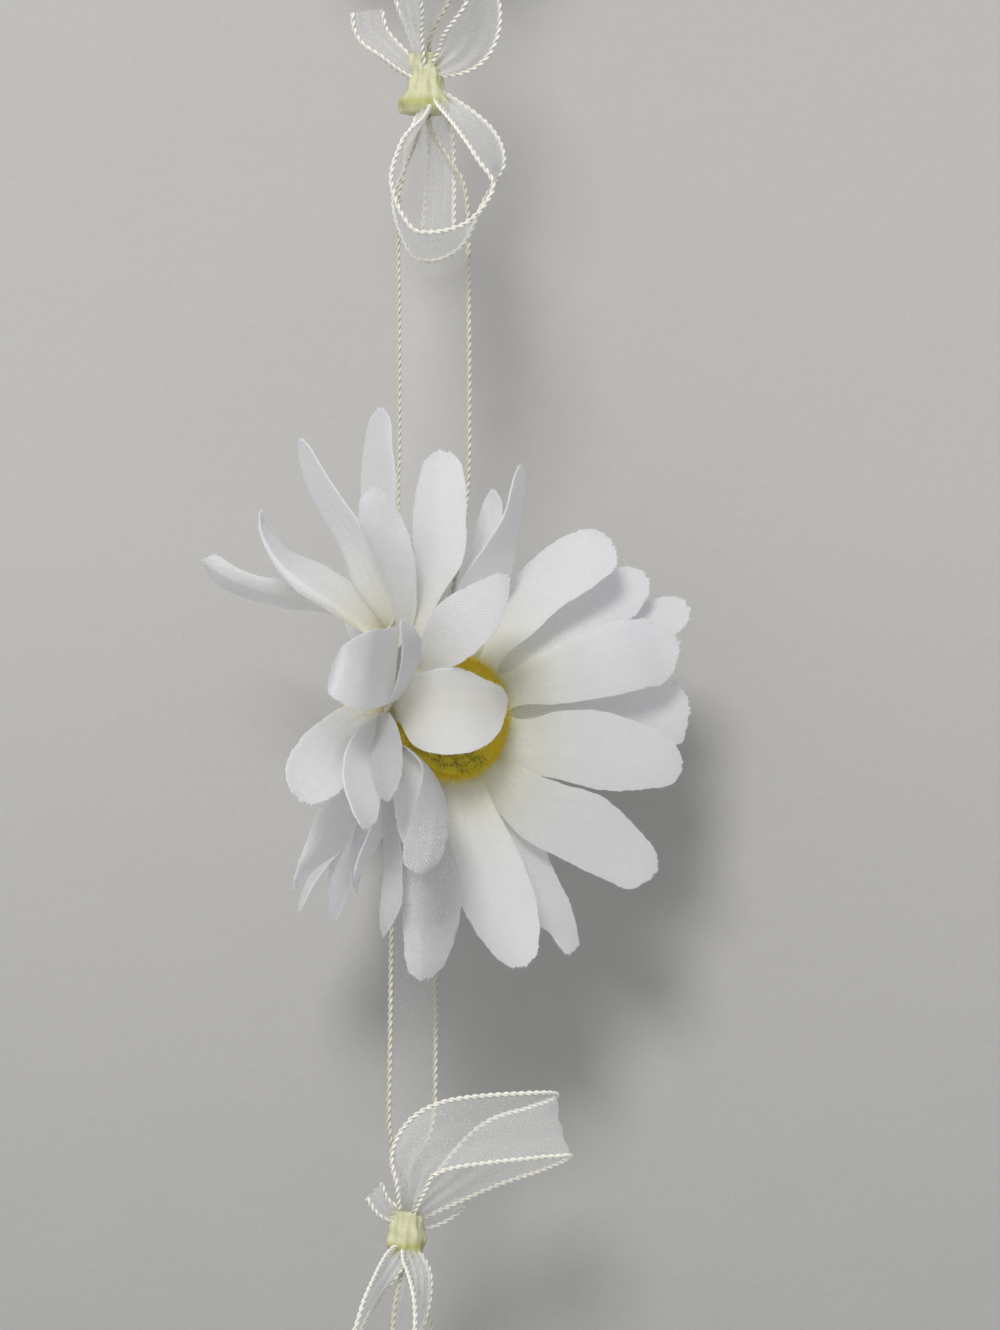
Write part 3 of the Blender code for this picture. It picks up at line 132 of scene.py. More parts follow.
# Petals of the photographed pair that show. Layer, direction of the root, width, which edge lies
# further back and how much, where the petal's ridge runs, its height and how much of the satin
# face shows. Each row crosses the petal: its two edges, across and up from the pair's middle as
# the camera sees them at the ribbon's distance, and the middle's depth.
LYING_RIGHT = (
    ("inner", 97, 11.5, -0.6, -0.1, 0.3, 0.0, (
        (-1.0, 8.6, 0.1, 8.6, -11.0), (-0.7, 14.3, 2.9, 14.7, -12.0),
        (-0.7, 20.0, 6.1, 20.0, -13.0), (-1.0, 25.7, 6.6, 26.4, -13.4),
        (-0.1, 31.7, 6.3, 31.7, -13.6), (1.4, 36.1, 5.3, 35.6, -13.6),
    )),
    ("inner", 72, 11.0, 0.9, 0.0, 0.15, 0.0, (
        (4.3, 12.6, 9.6, 12.6, -8.5), (6.1, 17.4, 13.0, 18.3, -8.5),
        (9.3, 22.1, 13.7, 22.9, -8.0), (11.9, 26.3, 14.4, 26.9, -7.5),
        (13.1, 30.7, 14.9, 30.9, -7.0), (13.9, 33.7, 14.6, 33.6, -6.6),
    )),
    ("outer", 82, 9.5, -0.5, 0.0, 0.1, 0.0, (
        (5.0, 14.3, 8.9, 14.3, -5.0), (7.1, 20.0, 11.0, 20.0, -4.8),
        (8.1, 25.0, 11.6, 25.0, -4.5), (9.1, 28.1, 11.6, 28.1, -4.4),
        (9.9, 30.3, 11.0, 30.1, -4.4),
    )),
    ("inner", 43, 11.5, -0.6, 0.0, 0.16, 0.0, (
        (8.0, 8.3, 11.4, 5.4, -4.8), (11.4, 14.3, 16.0, 9.4, -3.0),
        (15.7, 19.7, 20.3, 13.4, -1.3), (20.7, 23.3, 24.9, 16.3, 0.2),
        (25.0, 24.4, 28.0, 19.1, 1.2), (27.3, 23.9, 28.7, 20.6, 1.5),
    )),
    ("outer", 33, 10.5, -0.4, 0.0, 0.12, 0.0, (
        (11.4, 8.6, 14.0, 4.6, -1.6), (15.7, 12.3, 19.6, 7.1, 1.6), (21.4, 16.0, 26.0, 9.7, 4.8),
        (27.1, 18.7, 31.1, 12.6, 7.6), (31.6, 19.1, 33.6, 16.9, 9.0),
    )),
    ("outer", 22, 10.5, -0.4, 0.0, 0.1, 0.0, (
        (17.1, 7.1, 20.3, 2.6, 1.4), (24.3, 10.7, 27.4, 5.4, 6.6), (31.4, 13.9, 33.9, 8.3, 10.4),
        (35.0, 14.7, 37.4, 10.1, 12.0), (38.0, 14.9, 39.3, 12.7, 13.0),
    )),
    ("inner", 9, 12.0, -0.2, 0.0, 0.16, 0.0, (
        (12.6, 4.0, 13.3, -1.1, -4.4), (17.9, 6.9, 19.3, -0.6, -2.0), (23.6, 9.6, 25.7, 0.3, 1.2),
        (29.3, 11.4, 31.6, 1.6, 4.2), (34.3, 10.9, 35.6, 3.3, 6.8), (37.4, 8.9, 37.3, 6.4, 7.6),
    )),
    ("outer", -1, 11.0, -0.2, 0.0, 0.1, 0.0, (
        (17.1, 0.3, 17.9, -2.6, 1.0), (25.7, 1.1, 27.1, -4.0, 7.0), (32.1, 1.9, 32.9, -5.4, 10.8),
        (36.4, 2.6, 37.4, -6.0, 12.6), (38.9, 1.4, 38.4, -4.3, 13.4),
    )),
    ("inner", -9, 12.0, -0.2, 0.0, 0.16, 0.0, (
        (13.6, -2.6, 11.9, -9.4, -4.4), (20.0, -1.6, 19.7, -11.3, -1.2),
        (25.7, -1.6, 26.4, -12.9, 2.0), (31.4, -3.4, 32.1, -12.7, 4.8),
        (36.0, -5.9, 35.9, -12.0, 6.9), (38.0, -8.0, 37.4, -11.0, 7.8),
    )),
    ("inner", -36, 12.0, -0.3, 0.0, 0.16, 0.0, (
        (14.0, -9.1, 10.0, -14.4, -4.6), (20.0, -11.9, 14.7, -19.7, -1.8),
        (25.7, -13.7, 20.1, -22.6, 1.2), (30.7, -18.1, 25.7, -25.3, 4.2),
        (33.7, -21.9, 30.4, -26.9, 6.2), (34.7, -24.1, 32.6, -26.3, 6.9),
    )),
    ("outer", -58, 10.5, -0.4, 0.0, 0.1, 0.0, (
        (13.6, -12.1, 8.9, -14.3, -1.6), (16.7, -18.6, 10.7, -21.4, 0.0),
        (19.3, -24.9, 12.9, -28.1, 1.8), (21.6, -29.7, 16.1, -31.7, 3.4),
        (22.6, -34.3, 19.0, -33.9, 4.6), (22.6, -36.0, 20.4, -36.9, 5.0),
    )),
    ("inner", -73, 11.5, -0.5, 0.0, 0.16, 0.0, (
        (3.9, -12.9, 9.6, -12.9, -6.2), (3.9, -19.3, 12.6, -18.9, -6.0),
        (5.0, -25.0, 15.1, -24.3, -5.4), (6.6, -30.7, 16.7, -29.3, -5.0),
        (10.0, -35.7, 16.9, -35.0, -4.6), (12.7, -38.7, 16.1, -38.1, -4.4),
    )),
    ("inner", -97, 11.0, 0.4, -0.35, 0.3, 0.7, (
        (-2.6, -12.9, 2.9, -14.3, -8.6), (-3.1, -20.0, 4.6, -21.4, -9.6),
        (-2.6, -27.1, 5.9, -26.4, -10.6), (-2.4, -32.9, 5.4, -32.1, -11.3),
        (-1.9, -37.9, 3.9, -36.7, -11.9), (-0.9, -40.4, 2.3, -39.9, -12.1),
    )),
    ("outer", -80, 10.0, 0.2, 0.0, 0.1, 0.0, (
        (2.0, -12.9, 6.6, -12.9, -2.8), (2.9, -18.6, 8.0, -18.6, 0.8),
        (3.7, -23.1, 8.0, -23.1, 4.6), (4.3, -26.6, 7.4, -26.6, 8.0),
        (4.9, -28.0, 6.7, -28.0, 9.4),
    )),
)
STANDING_RIGHT = (
    ("inner", 180, 11.5, 0.1, 0.0, -0.28, 0.0, (
        (-3.4, -0.3, -3.0, -3.1, -14.8), (-2.3, 2.3, -1.1, -6.3, -17.6),
        (0.6, 3.9, 2.0, -7.6, -19.4), (5.1, 4.6, 7.1, -7.4, -19.2), (9.4, 2.9, 10.9, -5.1, -16.2),
        (12.6, 1.3, 12.6, -0.6, -12.2),
    )),
    ("inner", 134, 11.0, -0.4, 0.0, -0.1, 0.3, (
        (-0.4, 5.1, 1.0, 3.7, -13.6), (0.6, 9.7, 5.1, 5.0, -18.4), (2.9, 13.9, 8.4, 7.3, -21.4),
        (7.1, 16.4, 10.9, 10.3, -22.6), (10.7, 17.9, 12.4, 14.4, -22.8),
        (12.6, 18.4, 13.0, 17.4, -22.6),
    )),
    ("outer", 148, 9.5, 0.8, 0.0, 0.1, 0.3, (
        (-4.4, -0.4, -2.9, 0.1, -17.0), (-3.3, 2.7, -1.3, 2.9, -22.0),
        (-2.6, 6.3, 0.0, 6.7, -26.4), (-2.7, 9.1, -0.3, 9.4, -29.6),
        (-3.1, 11.6, -2.1, 11.6, -31.6),
    )),
    ("outer", 166, 11.0, 0.0, 0.0, -0.16, 0.25, (
        (-3.1, 9.7, -4.0, -0.3, -17.0), (-5.1, 10.1, -6.3, -1.1, -26.0),
        (-7.7, 9.6, -10.0, -0.9, -32.6), (-10.3, 8.3, -12.4, 0.3, -33.8),
        (-12.4, 5.7, -13.4, 2.6, -30.0),
    )),
    ("inner", 206, 9.0, -0.8, 0.1, 0.3, 1.0, (
        (-5.4, -1.9, -4.3, -1.9, -15.6), (-6.4, -5.4, -3.0, -4.7, -22.0),
        (-7.0, -9.3, -2.6, -7.9, -27.4), (-6.1, -12.9, -3.0, -11.6, -31.4),
        (-5.3, -14.6, -4.1, -14.6, -33.0),
    )),
    ("outer", 215, 10.5, 0.8, -0.2, -0.2, 0.0, (
        (-6.4, -2.3, -5.0, -2.3, -13.0), (-9.7, -5.4, -6.0, -6.4, -19.0),
        (-11.0, -9.3, -6.0, -10.3, -23.6), (-10.7, -12.9, -5.7, -13.9, -26.8),
        (-9.4, -16.4, -6.4, -17.4, -28.8), (-8.4, -18.9, -7.4, -18.6, -29.6),
    )),
    ("inner", 240, 9.0, -0.5, 0.2, -0.15, 0.0, (
        (-3.4, -7.1, -1.7, -6.9, -13.0), (-3.9, -10.9, 1.1, -10.6, -17.0),
        (-3.7, -15.1, 2.9, -15.1, -20.0), (-3.0, -19.1, 2.9, -19.7, -22.6),
        (-2.1, -21.7, 1.4, -21.7, -24.0),
    )),
    ("inner", 240, 8.0, 0.9, 0.3, 0.3, 1.0, (
        (-3.0, -6.3, -1.6, -7.0, -13.4), (0.3, -9.7, 1.9, -10.6, -19.0),
        (-0.4, -13.9, 3.6, -14.3, -22.4), (-1.6, -18.0, 3.9, -17.7, -25.0),
        (-2.4, -21.1, 3.6, -20.4, -26.6), (-2.1, -23.7, 2.4, -23.6, -27.6),
        (-0.6, -25.3, 1.0, -25.1, -28.0),
    )),
)
STANDING_LEFT = (
    ("inner", 113, 10.0, 0.9, 0.1, 0.6, 0.0, (
        (-9.7, 15.4, -8.3, 10.6, 6.0), (-17.1, 17.3, -14.0, 12.6, 8.0),
        (-22.6, 17.6, -20.4, 13.4, 8.4), (-26.4, 19.0, -25.6, 14.9, 8.4),
        (-29.4, 20.7, -29.3, 16.9, 8.2), (-31.4, 20.6, -31.0, 19.0, 8.0),
    )),
    ("inner", 85, 10.0, 0.8, -0.5, 0.5, 0.0, (
        (-8.3, 9.7, -5.7, 11.4, -2.0), (-13.6, 13.1, -9.1, 16.0, -3.0),
        (-17.7, 15.7, -13.4, 19.0, -3.4), (-21.6, 20.7, -19.4, 21.9, -3.2),
        (-23.0, 24.6, -22.0, 25.4, -3.0), (-23.0, 26.9, -22.6, 27.4, -3.0),
    )),
    ("inner", 92, 11.0, -0.9, -0.8, 0.15, 0.0, (
        (-5.6, 11.1, -3.4, 12.6, -4.0), (-8.9, 15.4, -5.0, 18.3, -4.6),
        (-11.4, 21.7, -7.7, 23.9, -4.8), (-14.0, 26.1, -10.7, 28.1, -4.6),
        (-16.3, 30.7, -13.7, 32.6, -4.2), (-17.3, 34.6, -15.3, 35.3, -4.0),
        (-17.6, 37.4, -16.7, 37.7, -4.0),
    )),
    ("outer", 96, 10.5, -0.9, 0.2, 0.12, 0.0, (
        (-6.9, 14.3, -2.6, 14.3, 2.6), (-8.0, 22.9, -2.4, 22.9, 3.8),
        (-8.4, 29.3, -3.1, 29.3, 4.8), (-8.0, 35.7, -4.0, 35.7, 5.6),
        (-7.1, 40.3, -4.4, 40.3, 6.0), (-6.3, 42.1, -5.0, 42.1, 6.0),
    )),
    ("outer", 55, 10.0, -0.5, -0.6, 0.2, 0.2, (
        (-3.4, 11.1, -1.1, 10.6, -9.5), (-4.9, 16.9, -0.6, 17.1, -13.0),
        (-7.1, 21.7, -1.1, 21.4, -15.6), (-8.7, 25.7, -2.7, 26.1, -17.6),
        (-8.3, 29.0, -4.6, 29.0, -18.8), (-7.0, 30.7, -5.7, 30.7, -19.2),
    )),
    ("inner", -21, 11.0, 0.3, 0.0, -0.06, 0.0, (
        (-10.0, -0.6, -6.6, -4.3, -13.0), (-14.0, -2.9, -10.0, -8.1, -18.0),
        (-17.1, -5.6, -10.7, -12.1, -22.4), (-19.1, -9.3, -13.4, -14.3, -25.4),
        (-19.0, -13.0, -16.7, -15.4, -27.0),
    )),
    ("inner", -76, 10.5, 0.8, -0.3, 0.35, 0.0, (
        (-10.7, -10.0, -7.4, -12.9, -7.0), (-14.0, -14.3, -9.1, -16.9, -7.8),
        (-16.3, -20.3, -11.4, -21.4, -8.0), (-17.6, -24.0, -15.3, -24.3, -8.0),
        (-18.3, -27.0, -17.6, -27.1, -8.0),
    )),
    ("outer", -86, 9.5, -0.9, -0.2, 0.2, 0.0, (
        (-10.0, -12.9, -7.7, -14.3, 3.0), (-12.9, -19.3, -10.7, -20.7, 6.0),
        (-15.1, -23.7, -13.6, -24.0, 7.4), (-16.7, -27.1, -15.7, -27.1, 8.0),
        (-17.6, -30.1, -17.1, -30.3, 8.4),
    )),
    ("outer", -80, 10.0, -0.5, 0.1, 0.2, 0.0, (
        (-8.3, -11.4, -6.0, -12.1, 0.0), (-10.7, -16.4, -8.9, -16.9, 2.4),
        (-12.7, -22.1, -10.1, -22.1, 4.0), (-13.0, -27.9, -10.4, -27.9, 4.8),
        (-12.7, -32.0, -11.9, -31.7, 5.0),
    )),
    ("outer", -68, 9.0, 0.9, 0.0, 0.2, 0.0, (
        (-6.0, -12.9, -4.3, -13.6, -5.0), (-7.4, -18.9, -5.4, -19.4, -8.0),
        (-9.0, -22.9, -7.4, -23.1, -10.0), (-9.6, -25.6, -9.0, -25.7, -11.0),
    )),
    ("outer", -60, 9.0, -0.4, -0.3, 0.2, 0.8, (
        (-4.6, -10.0, -2.6, -11.4, -9.0), (-5.3, -17.9, -2.9, -18.9, -12.4),
        (-5.1, -24.3, -2.6, -25.7, -14.6), (-5.7, -30.0, -2.9, -29.7, -15.8),
        (-5.6, -33.9, -5.1, -33.9, -16.2),
    )),
)

# Petal outlines: distance from the root and half width, as shares.
OPEN_OUTLINE = ((0.0, 0.24), (0.2, 0.5), (0.52, 0.97), (0.7, 1.0), (0.88, 0.86), (1.0, 0.56))
PLAIN_OUTLINE = ((0.0, 0.24), (0.2, 0.52), (0.5, 0.9), (0.7, 1.0), (0.88, 0.86), (1.0, 0.56))
TIP_ROUND = 0.09

# How far from a head's axis a petal is clear of the disc's rim.
LYING_RIM = 6.0
STANDING_RIM = 8.5

# A bow whose second loop hangs in front of the ribbon. Each length of ribbon is a run of
# points (x, y, z) from the knot's middle, the way its width points there and its half width.
HANGING_BOW = (
    (
        ((0.0, -1.2, -3.4), (-0.4, 0.9, 0.1), 1.0), ((-1.0, -5.2, -6.8), (-0.2, 1.0, 0.0), 2.8),
        ((-2.9, -7.7, -11.0), (0.1, 1.0, -0.1), 4.3),
        ((-4.4, -8.6, -17.0), (0.0, 1.0, -0.16), 4.8),
        ((-1.0, -9.0, -23.8), (0.0, 1.0, -0.33), 4.9),
        ((5.2, -8.8, -22.6), (-0.1, 1.0, -0.28), 4.9),
        ((9.2, -8.0, -16.4), (-0.1, 1.0, 0.0), 4.8),
        ((9.0, -7.6, -11.6), (0.38, 0.91, 0.12), 4.6),
        ((6.8, -5.0, -6.6), (0.62, 0.77, 0.05), 4.0), ((1.4, -0.6, -1.2), (0.5, 0.6, 0.3), 1.0),
    ),
    (
        ((-0.4, -0.9, 2.4), (-0.3, 0.9, 0.0), 0.9), ((-1.6, -3.2, 7.4), (-0.4, 0.9, 0.0), 2.4),
        ((-2.5, -6.4, 12.4), (-0.4, 0.9, 0.0), 4.4), ((-2.2, -8.2, 19.0), (-0.4, 0.9, 0.0), 4.8),
        ((2.2, -8.6, 23.6), (-0.1, 1.0, 0.1), 4.9), ((7.2, -8.2, 19.4), (0.3, 0.95, 0.1), 4.8),
        ((8.2, -7.0, 11.6), (0.35, 0.9, -0.15), 4.7), ((5.8, -3.6, 4.8), (0.6, 0.6, -0.5), 3.8),
        ((1.4, -0.8, 1.8), (0.4, 0.4, -0.8), 1.0),
    ),
    (
        ((0.8, 1.2, -2.4), (0.9, 0.3, 0.0), 1.0), ((2.2, 3.0, -8.0), (0.9, -0.3, 0.0), 1.8),
        ((1.8, 3.2, -20.5), (0.9, -0.3, 0.1), 2.4),
    ),
    (
        ((-1.2, -0.4, 1.4), (0.3, 0.4, 0.9), 1.0), ((-5.0, -1.8, 4.6), (0.46, 0.79, 0.4), 2.7),
        ((-7.6, -2.6, 7.2), (0.6, 0.7, 0.35), 3.2), ((-8.2, -3.0, 10.0), (0.6, 0.7, 0.35), 3.2),
    ),
)

# A bow with one loop out to its side and one hanging.
SIDE_BOW = (
    (
        ((0.2, -1.2, 2.0), (-0.9, 0.3, 0.1), 1.0), ((0.8, -4.2, 6.0), (-0.95, 0.3, 0.1), 2.2),
        ((1.7, -5.8, 10.4), (-0.75, 0.2, 0.6), 3.8), ((6.4, -6.3, 13.6), (-0.2, 0.1, 0.98), 4.7),
        ((18.4, -5.4, 14.8), (0.0, 0.0, 1.0), 4.6), ((22.2, -2.0, 14.2), (-0.25, 0.0, 0.97), 4.3),
        ((18.6, 1.6, 12.2), (-0.1, 0.0, 1.0), 4.5), ((12.0, 3.2, 9.4), (-0.2, 0.1, 0.97), 4.3),
        ((1.0, 1.2, 1.2), (-0.1, 0.2, 0.9), 1.0),
    ),
    (
        ((-0.2, -1.4, -3.2), (0.8, 0.5, 0.0), 1.0), ((-3.2, -5.0, -7.0), (0.4, 0.9, 0.0), 2.8),
        ((-6.0, -9.0, -12.0), (0.1, 1.0, -0.1), 4.6),
        ((-7.8, -11.4, -19.0), (0.0, 1.0, -0.15), 4.9),
        ((-4.6, -11.8, -25.0), (0.0, 1.0, -0.2), 4.9),
        ((0.4, -11.4, -21.0), (0.0, 1.0, -0.15), 4.9),
        ((2.0, -9.0, -12.6), (0.1, 1.0, -0.1), 4.6), ((2.0, -5.2, -6.6), (0.4, 0.9, 0.0), 3.0),
        ((0.6, -1.4, -3.0), (0.8, 0.5, 0.0), 1.0),
    ),
    (
        ((1.2, 1.2, 0.0), (0.0, 0.4, 0.9), 1.0), ((3.8, 4.0, 1.2), (-0.2, 0.4, 0.9), 2.0),
        ((7.0, 5.2, 3.6), (-0.4, 0.3, 0.9), 2.4),
    ),
    (
        ((-1.2, -0.4, 1.4), (0.3, 0.4, 0.9), 1.0), ((-3.2, -1.6, 2.8), (0.4, 0.6, 0.7), 1.5),
        ((-4.4, -2.6, 5.2), (0.6, 0.7, 0.3), 1.8),
    ),
)
BOWS = (
    (SIDE_BOW, KNOT_BELL, 0.3, 170.0),
    (HANGING_BOW, KNOT_BELL, 0.7, 0.0),
    (SIDE_BOW, SLIM_BELL, -2.1, 0.0),
    (HANGING_BOW, KNOT_BELL, -0.4, 50.0),
)

# The ribbon's run: height, sideways offset, turn in degrees and how open it is.
RIBBON_RUN = (
    (-35.3, 0.3, -10, 0.0), (-40.5, 0.3, -10, 0.0), (-47.0, 0.3, -12, 0.65),
    (-54.0, 0.3, -14, 1.0), (-80.0, 0.3, -24, 1.0), (-104.0, 0.3, -44, 1.0),
    (-116.0, 0.3, -52, 1.0), (-130.0, 0.3, -52, 1.0), (-144.0, 0.4, -40, 1.0),
    (-166.0, 0.5, -16, 1.0), (-183.0, 0.6, -4, 0.9), (-192.0, 0.7, 0, 0.0), (-203.5, 0.7, 0, 0.0),
    (-210.0, 1.2, 0, 0.65), (-217.0, 1.8, 0, 1.0), (-246.0, 2.0, 0, 1.0), (-258.0, 1.7, 14, 1.0),
    (-268.0, 1.1, 38, 1.0), (-278.0, 0.5, 60, 1.0), (-294.0, 0.5, 60, 1.0),
    (-304.0, -0.6, 56, 1.0), (-318.0, -0.9, 52, 1.0), (-344.0, -1.2, 50, 1.0),
    (-351.0, -1.9, 48, 0.5), (-355.5, -2.1, 46, 0.0), (-366.5, -2.1, 46, 0.0),
    (-373.0, -1.6, 52, 0.65), (-380.0, -1.0, 58, 1.0), (-405.0, -0.7, 80, 1.0),
    (-428.0, -0.6, 100, 1.0), (-441.0, -0.6, 104, 1.0), (-457.0, -0.6, 104, 1.0),
    (-472.0, -0.5, 92, 1.0), (-494.0, -0.4, 66, 1.0), (-509.0, -0.4, 56, 0.9),
    (-518.0, -0.4, 50, 0.0), (-529.5, -0.4, 50, 0.0), (-537.0, -0.4, 50, 0.7),
    (-546.0, -0.4, 50, 1.0), (STRAND_END, -0.2, 46, 1.0),
)


# Camera, light and stage.


def build_camera():
    data = bpy.data.cameras.new("camera")
    data.sensor_width = SENSOR_WIDTH
    data.lens = CAMERA_LENS
    data.clip_start = 0.02
    camera = bpy.data.objects.new("camera", data)
    camera.location = Vector(CAMERA_SPOT) * MM
    camera.rotation_euler = (math.pi / 2, 0.0, 0.0)
    bpy.context.scene.collection.objects.link(camera)
    bpy.context.scene.camera = camera


def build_light():
    """A soft window above and to the left, a wide faint one further left, and the room's light."""
    world = bpy.data.worlds.new("room")
    bpy.context.scene.world = world
    world.use_nodes = True
    background = world.node_tree.nodes["Background"]
    background.inputs["Color"].default_value = (0.96, 0.97, 1.0, 1.0)
    background.inputs["Strength"].default_value = 0.48
    soft_light("window", (-0.17, -1.0, 0.57), 0.44, 16.4)
    soft_light("side_window", (-1.0, -1.0, -0.1), 2.4, 6.5)


def soft_light(name, heading, size, energy):
    data = bpy.data.lights.new(name, "AREA")
    data.shape = "DISK"
    data.size = size
    data.energy = energy
    data.color = LIGHT_COLOUR
    light = bpy.data.objects.new(name, data)
    aim = Vector(LIGHT_AIM)
    light.location = aim + Vector(heading).normalized() * LIGHT_DISTANCE
    light.rotation_euler = (light.location - aim).to_track_quat("Z", "Y").to_euler()
    bpy.context.scene.collection.objects.link(light)


class Nodes:
    """Builds a material's nodes. An input is a plain value or another node's output."""

    def __init__(self, name):
        self.material = bpy.data.materials.new(name)
        self.material.use_nodes = True
        self.tree = self.material.node_tree
        self.tree.nodes.clear()

    def add(self, kind, settings=None, output=0, **inputs):
        node = self.tree.nodes.new("ShaderNode" + kind)
        for key, value in (settings or {}).items():
            setattr(node, key, value)
        for key, value in inputs.items():
            place = int(key[1:]) if key[1:].isdigit() else key.replace("_", " ")
            self.put(node.inputs[place], value)
        return node.outputs[output]

    def put(self, socket, value):
        if isinstance(value, bpy.types.NodeSocket):
            self.tree.links.new(value, socket)
        else:
            socket.default_value = value

    def times(self, first, second):
        return self.add("Math", {"operation": "MULTIPLY"}, i0=first, i1=second)

    def plus(self, first, second):
        return self.add("Math", {"operation": "ADD"}, i0=first, i1=second)

    def mix(self, share, first, second):
        return self.add("Mix", {"data_type": "RGBA"}, output=2, i0=share, i6=first, i7=second)

    def ramp(self, value, low, high, first=0.0, second=1.0):
        inputs = {"Value": value, "From_Min": low, "From_Max": high}
        return self.add("MapRange", None, **inputs, To_Min=first, To_Max=second)

    def noise(self, vector, scale, detail=2.0, rough=0.5):
        return self.add("TexNoise", None, Vector=vector, Scale=scale, Detail=detail, Roughness=rough)

    def bump(self, height, strength, distance):
        return self.add("Bump", Height=height, Strength=strength, Distance=distance)

    def attribute(self, name):
        return self.add("Attribute", {"attribute_name": name}, output=2)

    def cloth_place(self):
        return self.add("UVMap", {"uv_map": "cloth"})

    def object_spot(self):
        return self.add("TexCoord", output=3)

    def surface(self, shade, roughness, **inputs):
        return self.add("BsdfPrincipled", Base_Color=shade, Roughness=roughness, **inputs)

    def glow(self, shade, **inputs):
        return self.add("BsdfTranslucent", Color=shade, **inputs)

    def blend(self, share, first, second):
        return self.add("MixShader", i0=share, i1=first, i2=second)

    def finish(self, surface):
        node = self.tree.nodes.new("ShaderNodeOutputMaterial")
        self.tree.links.new(surface, node.inputs["Surface"])
        return self.material


def colour(red, green, blue):
    return (red, green, blue, 1.0)


def wall_material():
    """Rolled paint, with painted shade making it a little darker towards the floor. From behind, the wall
    is clear.
    """
    nodes = Nodes("painted_wall")
    spot = nodes.object_spot()
    fine = nodes.noise(spot, 900.0, 3.0, 0.6)
    broad = nodes.noise(spot, 60.0)
    streaks = nodes.noise(nodes.add("Mapping", Vector=spot, Scale=(0.12, 1.0, 1.0)), 110.0)
    height = nodes.plus(fine, nodes.times(broad, 1.5))
    height = nodes.plus(height, nodes.times(streaks, 1.5))
    up = nodes.add("SeparateXYZ", output=2, Vector=spot)
    # Painted shade: the wall darkens from 0.26 m down to 0.4 m down.
    low = nodes.mix(nodes.ramp(up, -0.4, -0.26), colour(*WALL_LOW_PAINTED_SHADE), colour(*WALL_HIGH))
    shade = nodes.mix(nodes.times(broad, 0.3), low, colour(0.43, 0.425, 0.41))
    paint = nodes.surface(shade, 0.85, Normal=nodes.bump(height, 0.25, 0.0004))
    behind = nodes.add("NewGeometry", output=6)
    return nodes.finish(nodes.blend(behind, paint, nodes.add("BsdfTransparent")))


def floor_material():
    nodes = Nodes("pale_floor")
    broad = nodes.noise(nodes.object_spot(), 8.0, 4.0)
    shade = nodes.mix(broad, colour(0.6, 0.6, 0.59), colour(0.66, 0.66, 0.65))
    return nodes.finish(nodes.surface(shade, 0.8))


def stage_sheet(name, corners, material):
    mesh = bpy.data.meshes.new(name)
    mesh.from_pydata(corners, [], [(0, 1, 2, 3)])
    mesh.materials.append(material)
    sheet = bpy.data.objects.new(name, mesh)
    bpy.context.scene.collection.objects.link(sheet)


def build_stage():
    far = STAGE_REACH
    wall = WALL_Y * MM
    floor = FLOOR_Z * MM
    upright = [(-far, wall, floor), (far, wall, floor), (far, wall, far), (-far, wall, far)]
    stage_sheet("wall", upright, wall_material())
    level = [(-far, -far, floor), (far, -far, floor), (far, wall, floor), (-far, wall, floor)]
    stage_sheet("floor", level, floor_material())


# Meshes made of grids of points.


